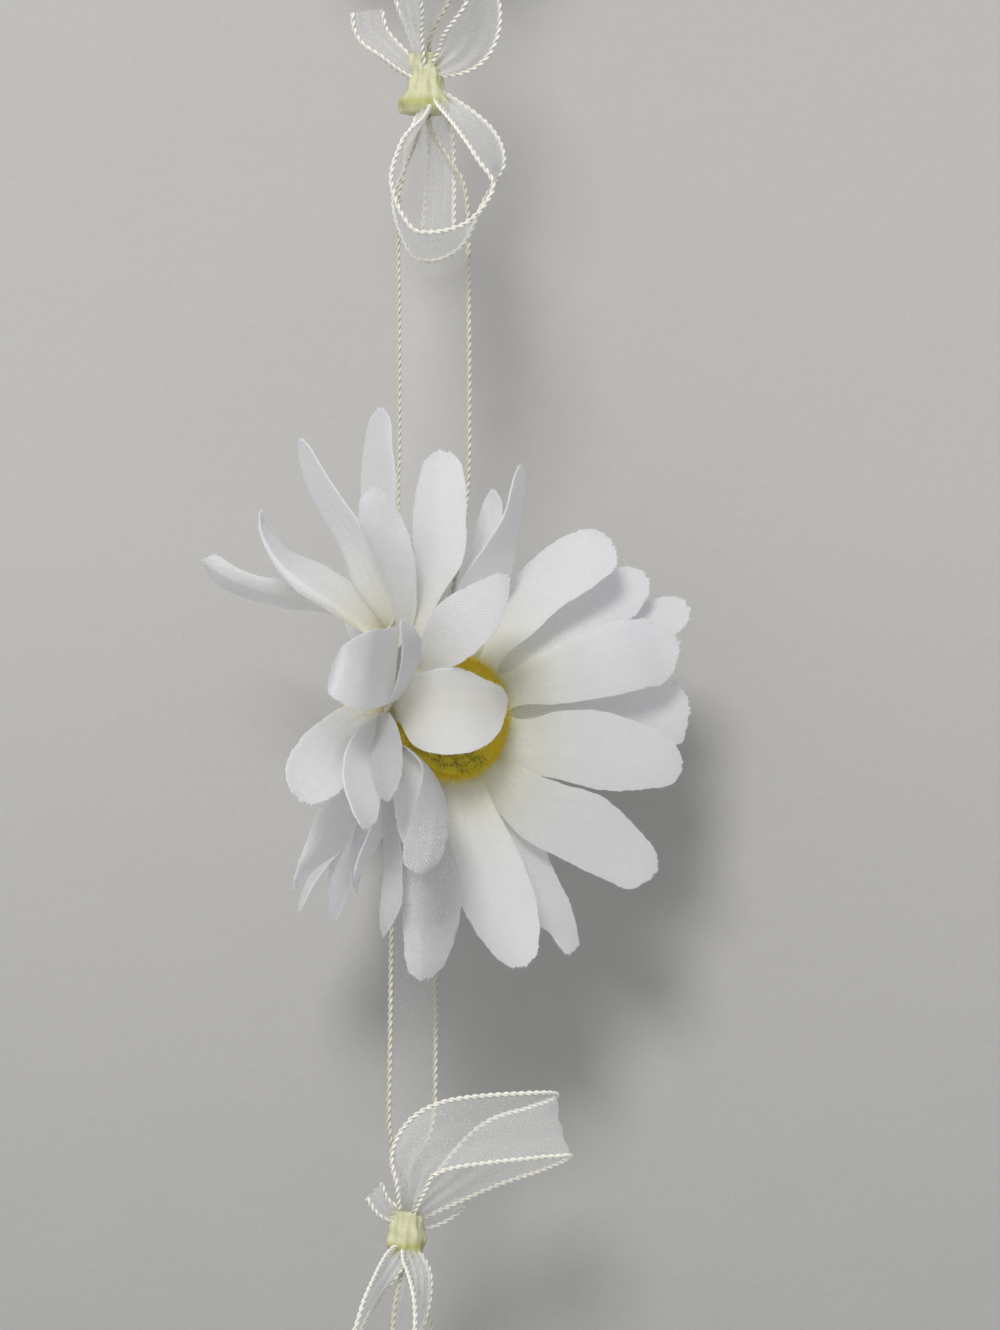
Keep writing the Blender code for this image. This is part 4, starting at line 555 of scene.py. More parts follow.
class Shell:
    """Gathers grids of points into one mesh, with a place on the cloth and a tint per point."""

    def __init__(self):
        self.points = []
        self.faces = []
        self.places = []
        self.tints = []
        self.satins = []
        self.satin = 0.0
        self.count = 0

    def grid(self, points, places=None, tints=None, round_columns=False, flip=False):
        """Rows and columns of points. The columns of a tube close on themselves."""
        rows, columns = points.shape[:2]
        index = self.count + np.arange(rows * columns).reshape(rows, columns)
        if round_columns:
            index = np.concatenate([index, index[:, :1]], axis=1)
        a, b = index[:-1, :-1], index[:-1, 1:]
        c, d = index[1:, 1:], index[1:, :-1]
        order = (a, d, c, b) if flip else (a, b, c, d)
        self.faces.append(np.stack(order, axis=-1).reshape(-1, 4))
        self.take(points.reshape(-1, 3), places, tints)
        return index

    def take(self, points, places, tints):
        number = len(points)
        self.points.append(points)
        self.places.append(np.zeros((number, 2)) if places is None else places.reshape(-1, 2))
        self.tints.append(np.zeros(number) if tints is None else tints.reshape(-1))
        self.satins.append(np.full(number, self.satin))
        self.count += number

    def join(self, first, second):
        """Faces between two runs of points."""
        quads = np.stack((first[:-1], first[1:], second[1:], second[:-1]), axis=-1)
        self.faces.append(quads.reshape(-1, 4))

    def cloth(self, points, thickness, places, tints):
        """A thin closed sheet: the grid's two faces and the rim between them."""
        normals = grid_normals(points) * (thickness / 2)
        top = self.grid(points + normals, places, tints)
        bottom = self.grid(points - normals, places, tints, flip=True)
        self.join(bottom[0], top[0])
        self.join(top[-1], bottom[-1])
        self.join(top[:, 0], bottom[:, 0])
        self.join(bottom[:, -1], top[:, -1])

    def tube(self, points, places=None, tints=None):
        """A tube of rings with closed ends."""
        index = self.grid(points, places, tints, round_columns=True)
        for row, backward in ((0, True), (-1, False)):
            middle = points[row].mean(axis=0, keepdims=True)
            hub = self.count
            self.take(middle, None, None if tints is None else tints[row, :1])
            ring = index[row]
            pairs = zip(ring[:-1], ring[1:])
            for a, b in pairs:
                self.faces.append(np.array([[b, a, hub, hub] if backward else [a, b, hub, hub]]))

    def object(self, name, material):
        points = np.concatenate(self.points) * MM
        faces = np.concatenate(self.faces)
        mesh = bpy.data.meshes.new(name)
        listed = [tuple(f[:3]) if f[2] == f[3] else tuple(f) for f in faces.tolist()]
        mesh.from_pydata(points.tolist(), [], listed)
        corners = np.zeros(len(mesh.loops), np.int32)
        mesh.loops.foreach_get("vertex_index", corners)
        layer = mesh.uv_layers.new(name="cloth")
        places = np.concatenate(self.places)
        layer.data.foreach_set("uv", places[corners].astype(np.float32).ravel())
        for key, values in (("tint", self.tints), ("satin", self.satins)):
            layer = mesh.attributes.new(key, "FLOAT", "POINT")
            layer.data.foreach_set("value", np.concatenate(values).astype(np.float32))
        mesh.materials.append(material)
        mesh.shade_smooth()
        mesh.set_sharp_from_angle(angle=math.radians(60))
        made = bpy.data.objects.new(name, mesh)
        bpy.context.scene.collection.objects.link(made)
        return made


def unit(vectors):
    return vectors / np.maximum(np.linalg.norm(vectors, axis=-1, keepdims=True), 1e-9)


def grid_normals(points):
    along = np.gradient(points, axis=0)
    across = np.gradient(points, axis=1)
    return unit(np.cross(across, along))


def pairs_of(first, second):
    """Pairs of the two values at each point, as a place on the cloth is given."""
    return np.stack(np.broadcast_arrays(first, second), axis=-1)


def run_lengths(points):
    """How far along the points each of them lies."""
    steps = np.linalg.norm(np.diff(points, axis=0), axis=1)
    return np.concatenate([[0.0], np.cumsum(steps)])


def place(piece, slot, *nodes):
    """Sets the piece on the strand's only body, in place of its solids."""
    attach(piece, "root")
    if nodes:
        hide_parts(*nodes)
    return piece


def smooth_step(t):
    t = np.clip(t, 0.0, 1.0)
    return t * t * (3 - 2 * t)


def spline(values, steps):
    """Passes smoothly through the rows of values, with the given steps between each two."""
    values = np.asarray(values, float)
    before = np.concatenate([values[:1], values[:-1]])
    after = np.concatenate([values[2:], values[-1:]])
    found = []
    for i in range(len(values) - 1):
        for step in range(steps + (i == len(values) - 2)):
            t = step / steps
            found.append(
                values[i] * (2 - 5 * t * t + 3 * t**3)
                + values[i + 1] * (t + 4 * t * t - 3 * t**3)
                + before[i] * (-t + 2 * t * t - t**3)
                + after[i] * (-t * t + t**3)
            )
    return np.array(found) * 0.5


# Cords.


def even_path(points, step):
    """The path's points at even distances, with their distances."""
    lengths = run_lengths(points)
    number = max(int(lengths[-1] / step), 2)
    at = np.linspace(0.0, lengths[-1], number + 1)
    return np.stack([np.interp(at, lengths, points[:, k]) for k in range(3)], axis=1), at


def twisted_cord(shell, path, phase, offset=CORD_OFFSET, strand=CORD_STRAND, pitch=CORD_PITCH):
    """Two strands twisted about the path."""
    path, at = even_path(path, pitch / 8)
    heading = unit(np.gradient(path, axis=0))
    side = np.zeros_like(path)
    guide = np.array([0.31, 0.9, 0.29])
    for i, direction in enumerate(heading):
        guide = guide - direction * (guide @ direction)
        guide = guide / np.linalg.norm(guide)
        side[i] = guide
    other = np.cross(heading, side)
    ring = np.arange(6) * math.tau / 6
    for ply in (0, 1):
        turn = at * math.tau / pitch + phase + ply * math.pi
        middle = path + offset * (side * np.cos(turn)[:, None] + other * np.sin(turn)[:, None])
        around = turn[:, None] + ring[None, :]
        points = (
            middle[:, None]
            + strand * side[:, None] * np.cos(around)[..., None]
            + strand * other[:, None] * np.sin(around)[..., None]
        )
        shell.tube(points, pairs_of(ring[None, :] / math.tau, at[:, None]))


# Materials of the garland.


def weave(nodes, spot, across, along, distortion):
    """Height from 0 to 1 of crossing threads, with their pitches in millimetres."""
    heights = []
    for pitch, direction in ((across, "X"), (along, "Y")):
        settings = {"wave_type": "BANDS", "bands_direction": direction}
        inputs = {"Vector": spot, "Distortion": distortion, "Detail": 2.0, "Detail_Scale": 1.2}
        scale = math.tau / (20.0 * pitch)
        heights.append(nodes.add("TexWave", settings, output=1, Scale=scale, **inputs))
    return nodes.times(*heights)


def petal_material():
    """White woven cloth that lets light through. Its satin face glitters thread by thread, glossier and
    bumpier there, with painted shade greying the hollows between its threads.
    """
    nodes = Nodes("petal_cloth")
    spot = nodes.cloth_place()
    bias = nodes.add("Mapping", Vector=spot, Rotation=(0.0, 0.0, 0.72))
    threads = weave(nodes, bias, 0.46, 0.4, 1.6)
    grain = nodes.noise(spot, 3.2, 2.0, 0.6)
    satin = nodes.attribute("satin")
    depth = nodes.ramp(satin, 0.0, 1.0, 0.00005, 0.00016)
    normal = nodes.bump(nodes.plus(nodes.times(threads, 0.8), grain), 1.0, depth)
    cloudy = nodes.noise(spot, 0.12)
    white = nodes.mix(cloudy, colour(0.925, 0.93, 0.95), colour(0.96, 0.965, 0.98))
    tinted = nodes.mix(nodes.attribute("tint"), white, colour(0.9, 0.87, 0.58))
    # Painted shade: the hollows between threads are greyed, faintly on plain cloth and most on the satin
    # face.
    painted_hollow_shade = nodes.ramp(threads, 0.0, 0.35, 1.0, 0.0)
    gaps = nodes.times(painted_hollow_shade, nodes.ramp(satin, 0.0, 1.0, 0.05, 0.34))
    woven = nodes.mix(gaps, tinted, colour(0.6, 0.6, 0.63))
    cloth = nodes.surface(
        woven,
        nodes.ramp(satin, 0.0, 1.0, 0.65, 0.26),
        Specular_IOR_Level=nodes.ramp(satin, 0.0, 1.0, 0.4, 1.0),
        Sheen_Weight=0.2,
        Sheen_Roughness=0.4,
        Normal=normal,
    )
    return nodes.finish(nodes.blend(0.62, cloth, nodes.glow(woven, Normal=normal)))


def disc_material():
    nodes = Nodes("disc_flock")
    speck = nodes.noise(nodes.object_spot(), 1500.0)
    golden = nodes.mix(speck, colour(0.98, 0.84, 0.05), colour(1.0, 0.93, 0.16))
    shade = nodes.mix(nodes.attribute("tint"), golden, colour(0.09, 0.06, 0.01))
    sheen = {"Sheen_Weight": 0.7, "Sheen_Roughness": 0.5, "Sheen_Tint": colour(1.0, 0.75, 0.12)}
    return nodes.finish(nodes.blend(0.55, nodes.surface(shade, 0.9, **sheen), nodes.glow(shade)))


def organza_material(name, shade, cover):
    """Sheer cloth: part of the light passes straight through between its threads."""
    nodes = Nodes(name)
    spot = nodes.cloth_place()
    threads = weave(nodes, spot, 0.34, 0.34, 0.4)
    cloudy = nodes.noise(spot, 0.5, 3.0, 0.6)
    glitter = nodes.ramp(nodes.noise(spot, 3.4, 2.0, 0.6), 0.52, 0.72)
    slant = nodes.add("LayerWeight", output=1, Blend=0.35)
    covered = nodes.ramp(threads, 0.0, 1.0, cover * 1.25, cover * 0.7)
    covered = nodes.plus(covered, nodes.times(slant, 0.5))
    covered = nodes.plus(covered, nodes.times(glitter, cover))
    cloth = nodes.surface(
        shade,
        0.34,
        Specular_IOR_Level=0.9,
        Sheen_Weight=0.3,
        Sheen_Roughness=0.3,
        Normal=nodes.bump(nodes.plus(threads, cloudy), 0.4, 0.0001),
    )
    woven = nodes.blend(0.4, cloth, nodes.glow(shade))
    return nodes.finish(nodes.blend(covered, nodes.add("BsdfTransparent"), woven))


def knot_material():
    nodes = Nodes("gathered_organza")
    spot = nodes.cloth_place()
    threads = weave(nodes, spot, 0.34, 0.34, 0.6)
    cloudy = nodes.noise(spot, 0.8, 3.0, 0.6)
    normal = nodes.bump(nodes.plus(threads, nodes.times(cloudy, 2.0)), 0.5, 0.00012)
    pale = nodes.mix(cloudy, colour(0.68, 0.68, 0.36), colour(0.84, 0.84, 0.66))
    # Where the tint attribute is up, the olive colour is painted shade: the band under the knot's wrap.
    shade = nodes.mix(nodes.attribute("tint"), pale, colour(0.5, 0.5, 0.14))
    cloth = nodes.surface(shade, 0.4, Specular_IOR_Level=0.6, Normal=normal)
    return nodes.finish(nodes.blend(0.25, cloth, nodes.glow(shade)))


def cord_material(name, low, high):
    nodes = Nodes(name)
    stretched = nodes.add("Mapping", Vector=nodes.cloth_place(), Scale=(9.0, 1.1, 1.0))
    fibre = nodes.noise(stretched, 1.6, 3.0, 0.65)
    normal = nodes.bump(fibre, 0.5, 0.00008)
    gloss = {"Specular_IOR_Level": 0.6, "Sheen_Weight": 0.2}
    return nodes.finish(nodes.surface(nodes.mix(fibre, low, high), 0.42, **gloss, Normal=normal))


def backing_material():
    nodes = Nodes("backing_plastic")
    speck = nodes.noise(nodes.object_spot(), 700.0)
    shade = nodes.mix(speck, colour(0.66, 0.7, 0.54), colour(0.72, 0.76, 0.61))
    return nodes.finish(nodes.surface(shade, 0.5, Normal=nodes.bump(speck, 0.15, 0.00005)))


# The ribbon, its bows and their cords.


def sheet_grid(middles, across, halves, columns, pleats, seed):
    """A band of cloth. Where it is pinched it lies in pleats that keep its full width."""
    heading = unit(np.gradient(middles, axis=0))
    across = unit(across - heading * np.sum(across * heading, axis=1, keepdims=True))
    face = np.cross(heading, across)
    u = np.linspace(-1.0, 1.0, columns)
    spare = np.sqrt(np.maximum(RIBBON_HALF**2 - halves**2, 0.0)) / pleats * 0.42
    spare = spare * (0.25 + 0.75 * smooth_step((4.8 - halves) / 1.6))
    wave = np.sin(u * math.pi * pleats + seed)
    taper = np.cos(u * math.pi / 2) ** 0.3
    lift = spare[:, None] * wave[None, :] * taper[None, :]
    points = middles[:, None] + across[:, None] * (u[None, :] * halves[:, None])[..., None]
    points = points + face[:, None] * lift[..., None]
    along = run_lengths(middles)
    return points, pairs_of(u[None, :] * RIBBON_HALF, along[:, None]), along[-1]


def ribbon_rows():
    rows = spline([(h, x, math.radians(t), o) for h, x, t, o in RIBBON_RUN], 10)
    turns, opened = rows[:, 2], np.clip(rows[:, 3], 0.0, 1.0)
    middles = np.stack([rows[:, 1], np.zeros(len(rows)), rows[:, 0]], axis=1)
    across = np.stack([np.cos(turns), np.sin(turns), np.zeros(len(rows))], axis=1)
    halves = PINCH_HALF + (RIBBON_HALF - PINCH_HALF) * opened
    return middles, across, halves


def build_ribbon(organza, cord):
    middles, across, halves = ribbon_rows()
    points, places, length = sheet_grid(middles, across, halves, 17, 2, 0.4)
    shell = Shell()
    shell.grid(points, places)
    sheet = place(shell.object("ribbon_cloth", organza), "organza_ribbon", "ribbon")
    edges = Shell()
    for column, phase in ((0, 0.3), (-1, 1.9)):
        twisted_cord(edges, points[:, column], phase)
    edging = place(edges.object("ribbon_cords", cord), "organza_ribbon", "ribbon")


def bow_placing(index):
    _, _, offset, turn = BOWS[index]
    matrix = np.array(Matrix.Rotation(math.radians(turn), 3, "Z"))
    return matrix, np.array([offset, 0.0, BOW_HEIGHTS[index]])


def build_bow(index, organza, gathered, cord):
    pattern = BOWS[index][0]
    name = f"bow_{index + 1}"
    turned, spot = bow_placing(index)
    cloth, edges, total = Shell(), Shell(), 0.0
    for n, run in enumerate(pattern):
        rows = spline([(*middle, *Vector(across).normalized(), half) for middle, across, half in run], 10)
        halves = np.maximum(rows[:, 6], 0.9)
        points, places, length = sheet_grid(rows[:, :3], rows[:, 3:6], halves, 17, 3, n * 1.3 + index)
        points = points @ turned.T + spot
        cloth.grid(points, places)
        total += length
        for column in (0, -1):
            twisted_cord(edges, points[:, column], n + column)
    sheet = place(cloth.object(name + "_cloth", organza), "bow_organza", name)
    knot = build_knot(index, gathered)
    edging = place(edges.object(name + "_cords", cord), "bow_organza", name)


def build_knot(index, material):
    """The gathered middle of a bow: a bell of folds, with a band of painted olive shade low down for the
    shade under the wrap of ribbon that draws it round; the wrap itself is not modelled.
    """
    rings, sides = 40, 60
    bell = BOWS[index][1]
    heights = np.linspace(bell[0][0], bell[-1][0], rings)
    profile = spline([(h, r) for h, r in bell], 12)
    radii = np.interp(heights, profile[:, 0], profile[:, 1])
    angle = np.arange(sides) * math.tau / sides
    folds = (
        0.16 * np.sin(7 * angle[None, :] + heights[:, None] * 0.5 + index)
        + 0.1 * np.sin(12 * angle[None, :] - heights[:, None] * 0.7)
        + 0.14 * np.sin(heights[:, None] * 2.4 + 2 * angle[None, :])
    )
    radius = radii[:, None] + folds
    radius[0] *= 0.72
    radius[-1] *= 0.72
    spots = (radius * np.cos(angle), radius * 0.92 * np.sin(angle), heights[:, None])
    turned, spot = bow_placing(index)
    points = np.stack(np.broadcast_arrays(*spots), axis=-1) @ turned.T + spot
    places = pairs_of(angle[None, :] * 3.0, heights[:, None])
    shell = Shell()
    # Painted shade: an olive band low on the bell, where the wrap's shade would fall.
    painted_shade_band = 0.8 * np.exp(-(((heights + 2.9) / 0.7) ** 2))
    shell.tube(points, places, np.broadcast_to(painted_shade_band[:, None], points.shape[:2]))
    name = f"bow_{index + 1}"
    return place(shell.object(name + "_knot", material), "bow_organza", name)


def build_hanging_loop(cord):
    """A teardrop of twisted cord, its two legs bound with thread above the first knot."""
    offset = RIBBON_RUN[0][1]
    middle = (LOOP_CORD_RADIUS + LOOP_BOTTOM) / 2
    reach = (LOOP_CORD_RADIUS - LOOP_BOTTOM) / 2
    turn = np.linspace(0.7, math.tau - 0.7, 17)
    spread = LOOP_SPREAD * np.sin(turn) * np.sin(turn / 2) ** 1.5
    x = offset * (1 + np.cos(turn)) / 2 + spread
    near, far = offset + LOOP_LEG, offset - LOOP_LEG
    spots = [(near, LOOP_BOTTOM - 0.6), (near, LOOP_BOTTOM + 2.0)]
    spots += list(zip(x, middle - reach * np.cos(turn)))
    spots += [(far, LOOP_BOTTOM + 2.0), (far, LOOP_BOTTOM - 0.6)]
    path = spline([(across, 0.0, up) for across, up in spots], 8)
    shell = Shell()
    twisted_cord(shell, path, 0.4, offset=0.34, strand=0.36, pitch=3.8)
    add_binding(shell, offset)
    place(shell.object("loop_of_cord", cord), "loop_cord", "hanging_loop")


def add_binding(shell, offset):
    """Thread wound round the loop's legs, turn upon turn."""
    angle = np.arange(20) * math.tau / 20
    bell = np.array(LOOP_BINDING)
    height = np.linspace(bell[0, 0], bell[-1, 0], 110)[:, None]
    radius = np.interp(height, bell[:, 0], bell[:, 1])
    radius = radius - 0.09 + 0.09 * np.abs(np.sin(height * math.pi / 0.42 + angle / 2))
    spots = (offset + radius * np.cos(angle), radius * np.sin(angle), height)
    points = np.stack(np.broadcast_arrays(*spots), axis=-1)
    shell.tube(points, pairs_of(height * 2, angle * radius))


# Daisy heads.


class Head:
    """Where a head sits and which way it faces."""

    def __init__(self, pair, side):
        turn = math.radians(PAIR_TURNS[pair])
        tip = math.radians(PAIR_TIPS[pair])
        along = Vector((math.cos(turn), math.sin(turn), 0.0))
        off = Vector((math.sin(turn), -math.cos(turn), 0.0))
        if side == "left":
            off = -off
        self.pair = pair
        self.side = side
        self.off = off
        self.axis = (off * math.cos(tip) - along * math.sin(tip)).normalized()
        self.level = UP.cross(self.axis).normalized()
        self.rise, shift, drop = HEAD_SEATS[side]
        self.hub = Vector((PAIR_CENTRES[pair], 0.0, DAISY_HEIGHTS[pair]))
        self.middle = self.hub + off * self.rise + along * shift + UP * drop

    def direction(self, azimuth):
        return self.level * math.cos(azimuth) + UP * math.sin(azimuth)

    def lathe(self, profile, sides):
        """Rings about the head's axis, of (radius, height) pairs."""
        angle = np.arange(sides) * math.tau / sides
        profile = np.asarray(profile, float)
        level, up, axis = np.array(self.level), np.array(UP), np.array(self.axis)
        radius, height = profile[:, :1], profile[:, 1:]
        flat = level * (radius * np.cos(angle))[..., None] + up * (radius * np.sin(angle))[..., None]
        return np.array(self.middle) + flat + axis * height[..., None]

    def name(self, piece):
        return f"daisy_{self.pair + 1}_{self.side}_{piece}"


def leaning(head, azimuth, lean):
    return head.direction(azimuth) * math.cos(lean) + head.axis * math.sin(lean)


def open_petal(head, layer, tip, curl):
    """A petal that lies open."""
    reach = tip - head.middle
    azimuth = math.atan2(reach.dot(UP), reach.dot(head.level))
    root = head.middle + head.direction(azimuth) * ROOT_RADIUS + head.axis * LAYER_HEIGHTS[layer]
    run = tip - root
    length = run.length
    lean = math.asin(max(-1.0, min(1.0, run.dot(head.axis) / length)))
    start = leaning(head, azimuth, min(lean * 0.6, math.radians(7)))
    end = leaning(head, azimuth, lean + math.radians(curl))
    corners = (root, root + start * (length * 0.36), tip - end * (length * 0.33), tip)
    return corners, head.axis.cross(head.direction(azimuth))


def sight_spot(across, up, depth):
    """A spot drawn as the camera sees it at the ribbon's distance, moved to its own depth."""
    share = 1.0 - depth / CAMERA_SPOT[1]
    x = CAMERA_SPOT[0] + (across - CAMERA_SPOT[0]) * share
    z = CAMERA_SPOT[2] + (up + DAISY_HEIGHTS[SHOWN_PAIR] - CAMERA_SPOT[2]) * share
    return np.array([x, depth, z])


def root_rows(head, layer, azimuth, width, rim):
    """A petal's two first rows: at the collar, and beside the disc's rim."""
    out = head.direction(math.radians(azimuth))
    side = np.array(head.axis.cross(out)) * (width / 2)
    rows = []
    for radius, share in ((ROOT_RADIUS, 0.24), (rim, 0.56)):
        spot = np.array(head.middle + out * radius + head.axis * LAYER_HEIGHTS[layer])
        rows.append((spot - side * share, spot + side * share))
    return rows


def seen_rows(head, petal, rim):
    """A photographed petal's two edges, row by row, and each row's distance from the root."""
    layer, azimuth, width, facing, _, _, _, rows = petal
    roots = root_rows(head, layer, azimuth, width, rim)
    middles = [(a + b) / 2 for a, b in roots]
    middles += [sight_spot((ax + bx) / 2, (az + bz) / 2, y) for ax, az, bx, bz, y in rows]
    at = run_lengths(middles)
    found = []
    for spot, (ax, az, bx, bz, y) in zip(at[2:], rows):
        full = width * outline_share(spot / at[-1])
        drawn = math.hypot(bx - ax, bz - az)
        slant = facing * math.sqrt(max(full * full - drawn * drawn, 0.0)) / 2
        found.append((sight_spot(ax, az, y - slant), sight_spot(bx, bz, y + slant)))
    start = found[0][1] - found[0][0]
    if (roots[1][1] - roots[1][0]) @ start < 0:
        roots = [(b, a) for a, b in roots]
    return np.array(roots + found), at


def through(at, values, spots):
    """The values at the spots, on a smooth run that passes through the given ones."""
    gaps = np.diff(at)[:, None]
    slopes = np.diff(values, axis=0) / gaps
    between = (slopes[:-1] * gaps[1:] + slopes[1:] * gaps[:-1]) / (gaps[1:] + gaps[:-1])
    tangents = np.concatenate([slopes[:1], between, slopes[-1:]])
    i = np.clip(np.searchsorted(at, spots, side="right") - 1, 0, len(at) - 2)
    gap = (at[i + 1] - at[i])[..., None]
    h = (spots - at[i])[..., None] / gap
    return (
        values[i] * ((1 + 2 * h) * (1 - h) ** 2)
        + tangents[i] * gap * (h * (1 - h) ** 2)
        + values[i + 1] * (h * h * (3 - 2 * h))
        + tangents[i + 1] * gap * (h * h * (h - 1))
    )


def outline_share(t):
    """An open petal's width, as a share of its widest, at the share t of its length."""
    shape = np.array(OPEN_OUTLINE)
    return np.interp(t, shape[:, 0], shape[:, 1])


def worn_grid(rng, rows, columns, seed):
    """A petal's grid: the share of its length, and the place across it, uneven at the cut edge."""
    s = np.linspace(0.0, 1.0, rows)[:, None]
    u = np.linspace(-1.0, 1.0, columns)[None, :]
    notch = rng.uniform(0.0, 0.012)
    t = s * (1 - 0.04 * s**4 * np.abs(u) ** 2.4) - notch * s**12 * np.cos(u * math.pi / 2) ** 8
    t = t - s**30 * np.array([rng.uniform(0.0, 0.012) for _ in range(columns)])
    torn = np.array([[rng.uniform(-1, 1), rng.uniform(-1, 1)] for _ in range(rows)]) * 0.024 * s
    fray = 0.012 * np.sin(s * 61 + seed) + np.where(u < 0, torn[:, :1], torn[:, 1:])
    share = (u * (1 + fray * np.abs(u) ** 6 * s) + 1)[..., None] / 2
    return t, u, share


def seen_points(head, petal, rim, rows, columns, seed):
    """A photographed petal's grid of points, with their places on the cloth and root tint."""
    _, _, width, _, ridge, height, _, _ = petal
    edges, at = seen_rows(head, petal, rim)
    rng = random.Random(seed)
    t, u, share = worn_grid(rng, rows, columns, seed)
    first = through(at, edges[:, 0], t * at[-1])
    second = through(at, edges[:, 1], t * at[-1])
    points = first * (1 - share) + second * share
    half = np.linalg.norm(second - first, axis=-1) / 2
    side = np.where(u < ridge, (u - ridge) / (1 + ridge), (u - ridge) / (1 - ridge))
    crown = 1 - np.abs(side) ** (1.5 if height >= 0.25 else 2.0)
    lift = height * crown * half * smooth_step(t * 3)
    points[..., 1] -= lift + pressed_grooves(rng, t, u)
    places = pairs_of(u * outline_share(t) * width / 2, t * at[-1])
    return points, places, root_tint(t, u, 0.85, 0.27)


def root_tint(t, u, deepest, reach):
    """The green of a petal's root, which fades out over the reach."""
    return deepest * np.exp(-((t / reach) ** 1.6)) * np.ones_like(u)


def pressed_grooves(rng, t, u):
    """Shallow creases that fan out from the root, and a slow waver along the petal."""
    lift = 0.22 * np.sin(t * rng.uniform(4, 7) + rng.uniform(0, 6)) * u * smooth_step(t * 2)
    fan = 1.35 - 0.35 * t
    for spot in (-0.5, -0.12, 0.16, 0.52):
        spot += rng.uniform(-0.08, 0.08)
        depth = rng.uniform(0.1, 0.2) * smooth_step(t * 6) * (1 - 0.7 * t)
        lift = lift - depth * np.exp(-(((u * fan - spot) / 0.13) ** 2))
    return lift


def add_spikes(shell, feet, tips, tints=None):
    """Three-sided spikes: each has the three points of its foot and its tip."""
    number = len(tips)
    points = np.concatenate([np.array(feet), np.array(tips)[:, None]], axis=1).reshape(-1, 3)
    sides = np.array([(0, 1, 3, 3), (1, 2, 3, 3), (2, 0, 3, 3), (2, 1, 0, 0)])
    first = shell.count + 4 * np.arange(number)
    shell.faces.append((first[:, None, None] + sides).reshape(-1, 4))
    shell.take(points, None, None if tints is None else np.repeat(tints, 4))


def add_frayed_threads(shell, points, seed):
    """Loose thread ends along the cut edge."""
    rng = random.Random(seed)
    rows, columns = points.shape[:2]
    feet, tips = [], []
    for _ in range(FRAYED_THREADS):
        row = int(rows * (1 - 0.75 * rng.random() ** 1.5)) - 1
        spot = rng.uniform(-1, 1)
        tip = rng.random() < 0.3
        column = int((spot + 1) / 2 * (columns - 1)) if tip else (0 if spot < 0 else columns - 1)
        row = rows - 1 if tip else row
        foot = points[row, column]
        inside = points[max(row - 4, 0), columns // 2 + (column - columns // 2) // 2]
        out = (foot - inside) / max(np.linalg.norm(foot - inside), 1e-6)
        out = out + np.array([rng.uniform(-0.6, 0.6) for _ in range(3)])
        out = out / np.linalg.norm(out)
        side = np.cross(out, (0.3, 0.9, 0.2)) * 0.035
        other = np.cross(out, side)
        feet.append([foot - out * 0.15 + around for around in (side, -side, other)])
        tips.append(foot + out * rng.uniform(0.15, 0.5))
    add_spikes(shell, feet, tips)


def sown_petals(head):
    """Petals of the other heads: two layers, a little uneven, lifted where the heads meet."""
    rng = random.Random(71 + 10 * head.pair + (head.side == "left"))
    found = []
    for layer, count, lean in (("inner", 11, 13.0), ("outer", 9, 3.0)):
        for step in range(count):
            spot = step + (0.5 if layer == "outer" else 0.0)
            azimuth = math.radians(spot * 360 / count + rng.uniform(-3.5, 3.5))
            crowding = max(0.0, -math.cos(azimuth))
            if head.side == "left":
                crowding = max(0.0, math.cos(azimuth))
            rise = math.radians(lean + rng.uniform(-1.0, 4.0) + 15.0 * crowding)
            tip = head.middle + leaning(head, azimuth, rise) * rng.uniform(33.5, 37.5)
            corners, sideways = open_petal(head, layer, tip, rng.uniform(-9.0, 6.0))
            width = rng.uniform(10.4, 11.8)
            found.append((corners, sideways, width, rng.uniform(8, 13), PLAIN_OUTLINE))
    return found


def roll_share(roll, t):
    if abs(roll) <= 45:
        return np.minimum(1.0, 0.25 + t)
    return smooth_step(t / 0.75)


def petal_spine(corners, t):
    """The petal's middle line through its corners, and its heading, at the shares t."""
    a, b, c, d = corners
    r = 1 - t
    middle = a * (r**3)[..., None] + b * (3 * r * r * t)[..., None]
    middle = middle + c * (3 * r * t * t)[..., None] + d * (t**3)[..., None]
    heading = (b - a) * (r * r)[..., None] + (c - b) * (2 * r * t)[..., None]
    return middle, unit(heading + (d - c) * (t * t)[..., None])


def pressed_lift(rng, half, s, t, u, seed):
    """How far the cloth stands off its middle: cupped, creased and waved towards the tip."""
    ridge = rng.uniform(0.28, 0.42)
    fade = np.clip(s * 6, 0, 1) * (1 - 0.5 * s)
    lift = PETAL_CUP * half * u * u
    lift = lift - 0.3 * fade * np.exp(-((u / 0.09) ** 2))
    for spot in (-ridge, ridge * 1.15):
        lift = lift + 0.24 * fade * np.exp(-(((u - spot) / 0.12) ** 2))
    return lift + 0.4 * s * s * np.sin(t * 9 + seed * 1.7) * np.sign(u) * np.abs(u) ** 3


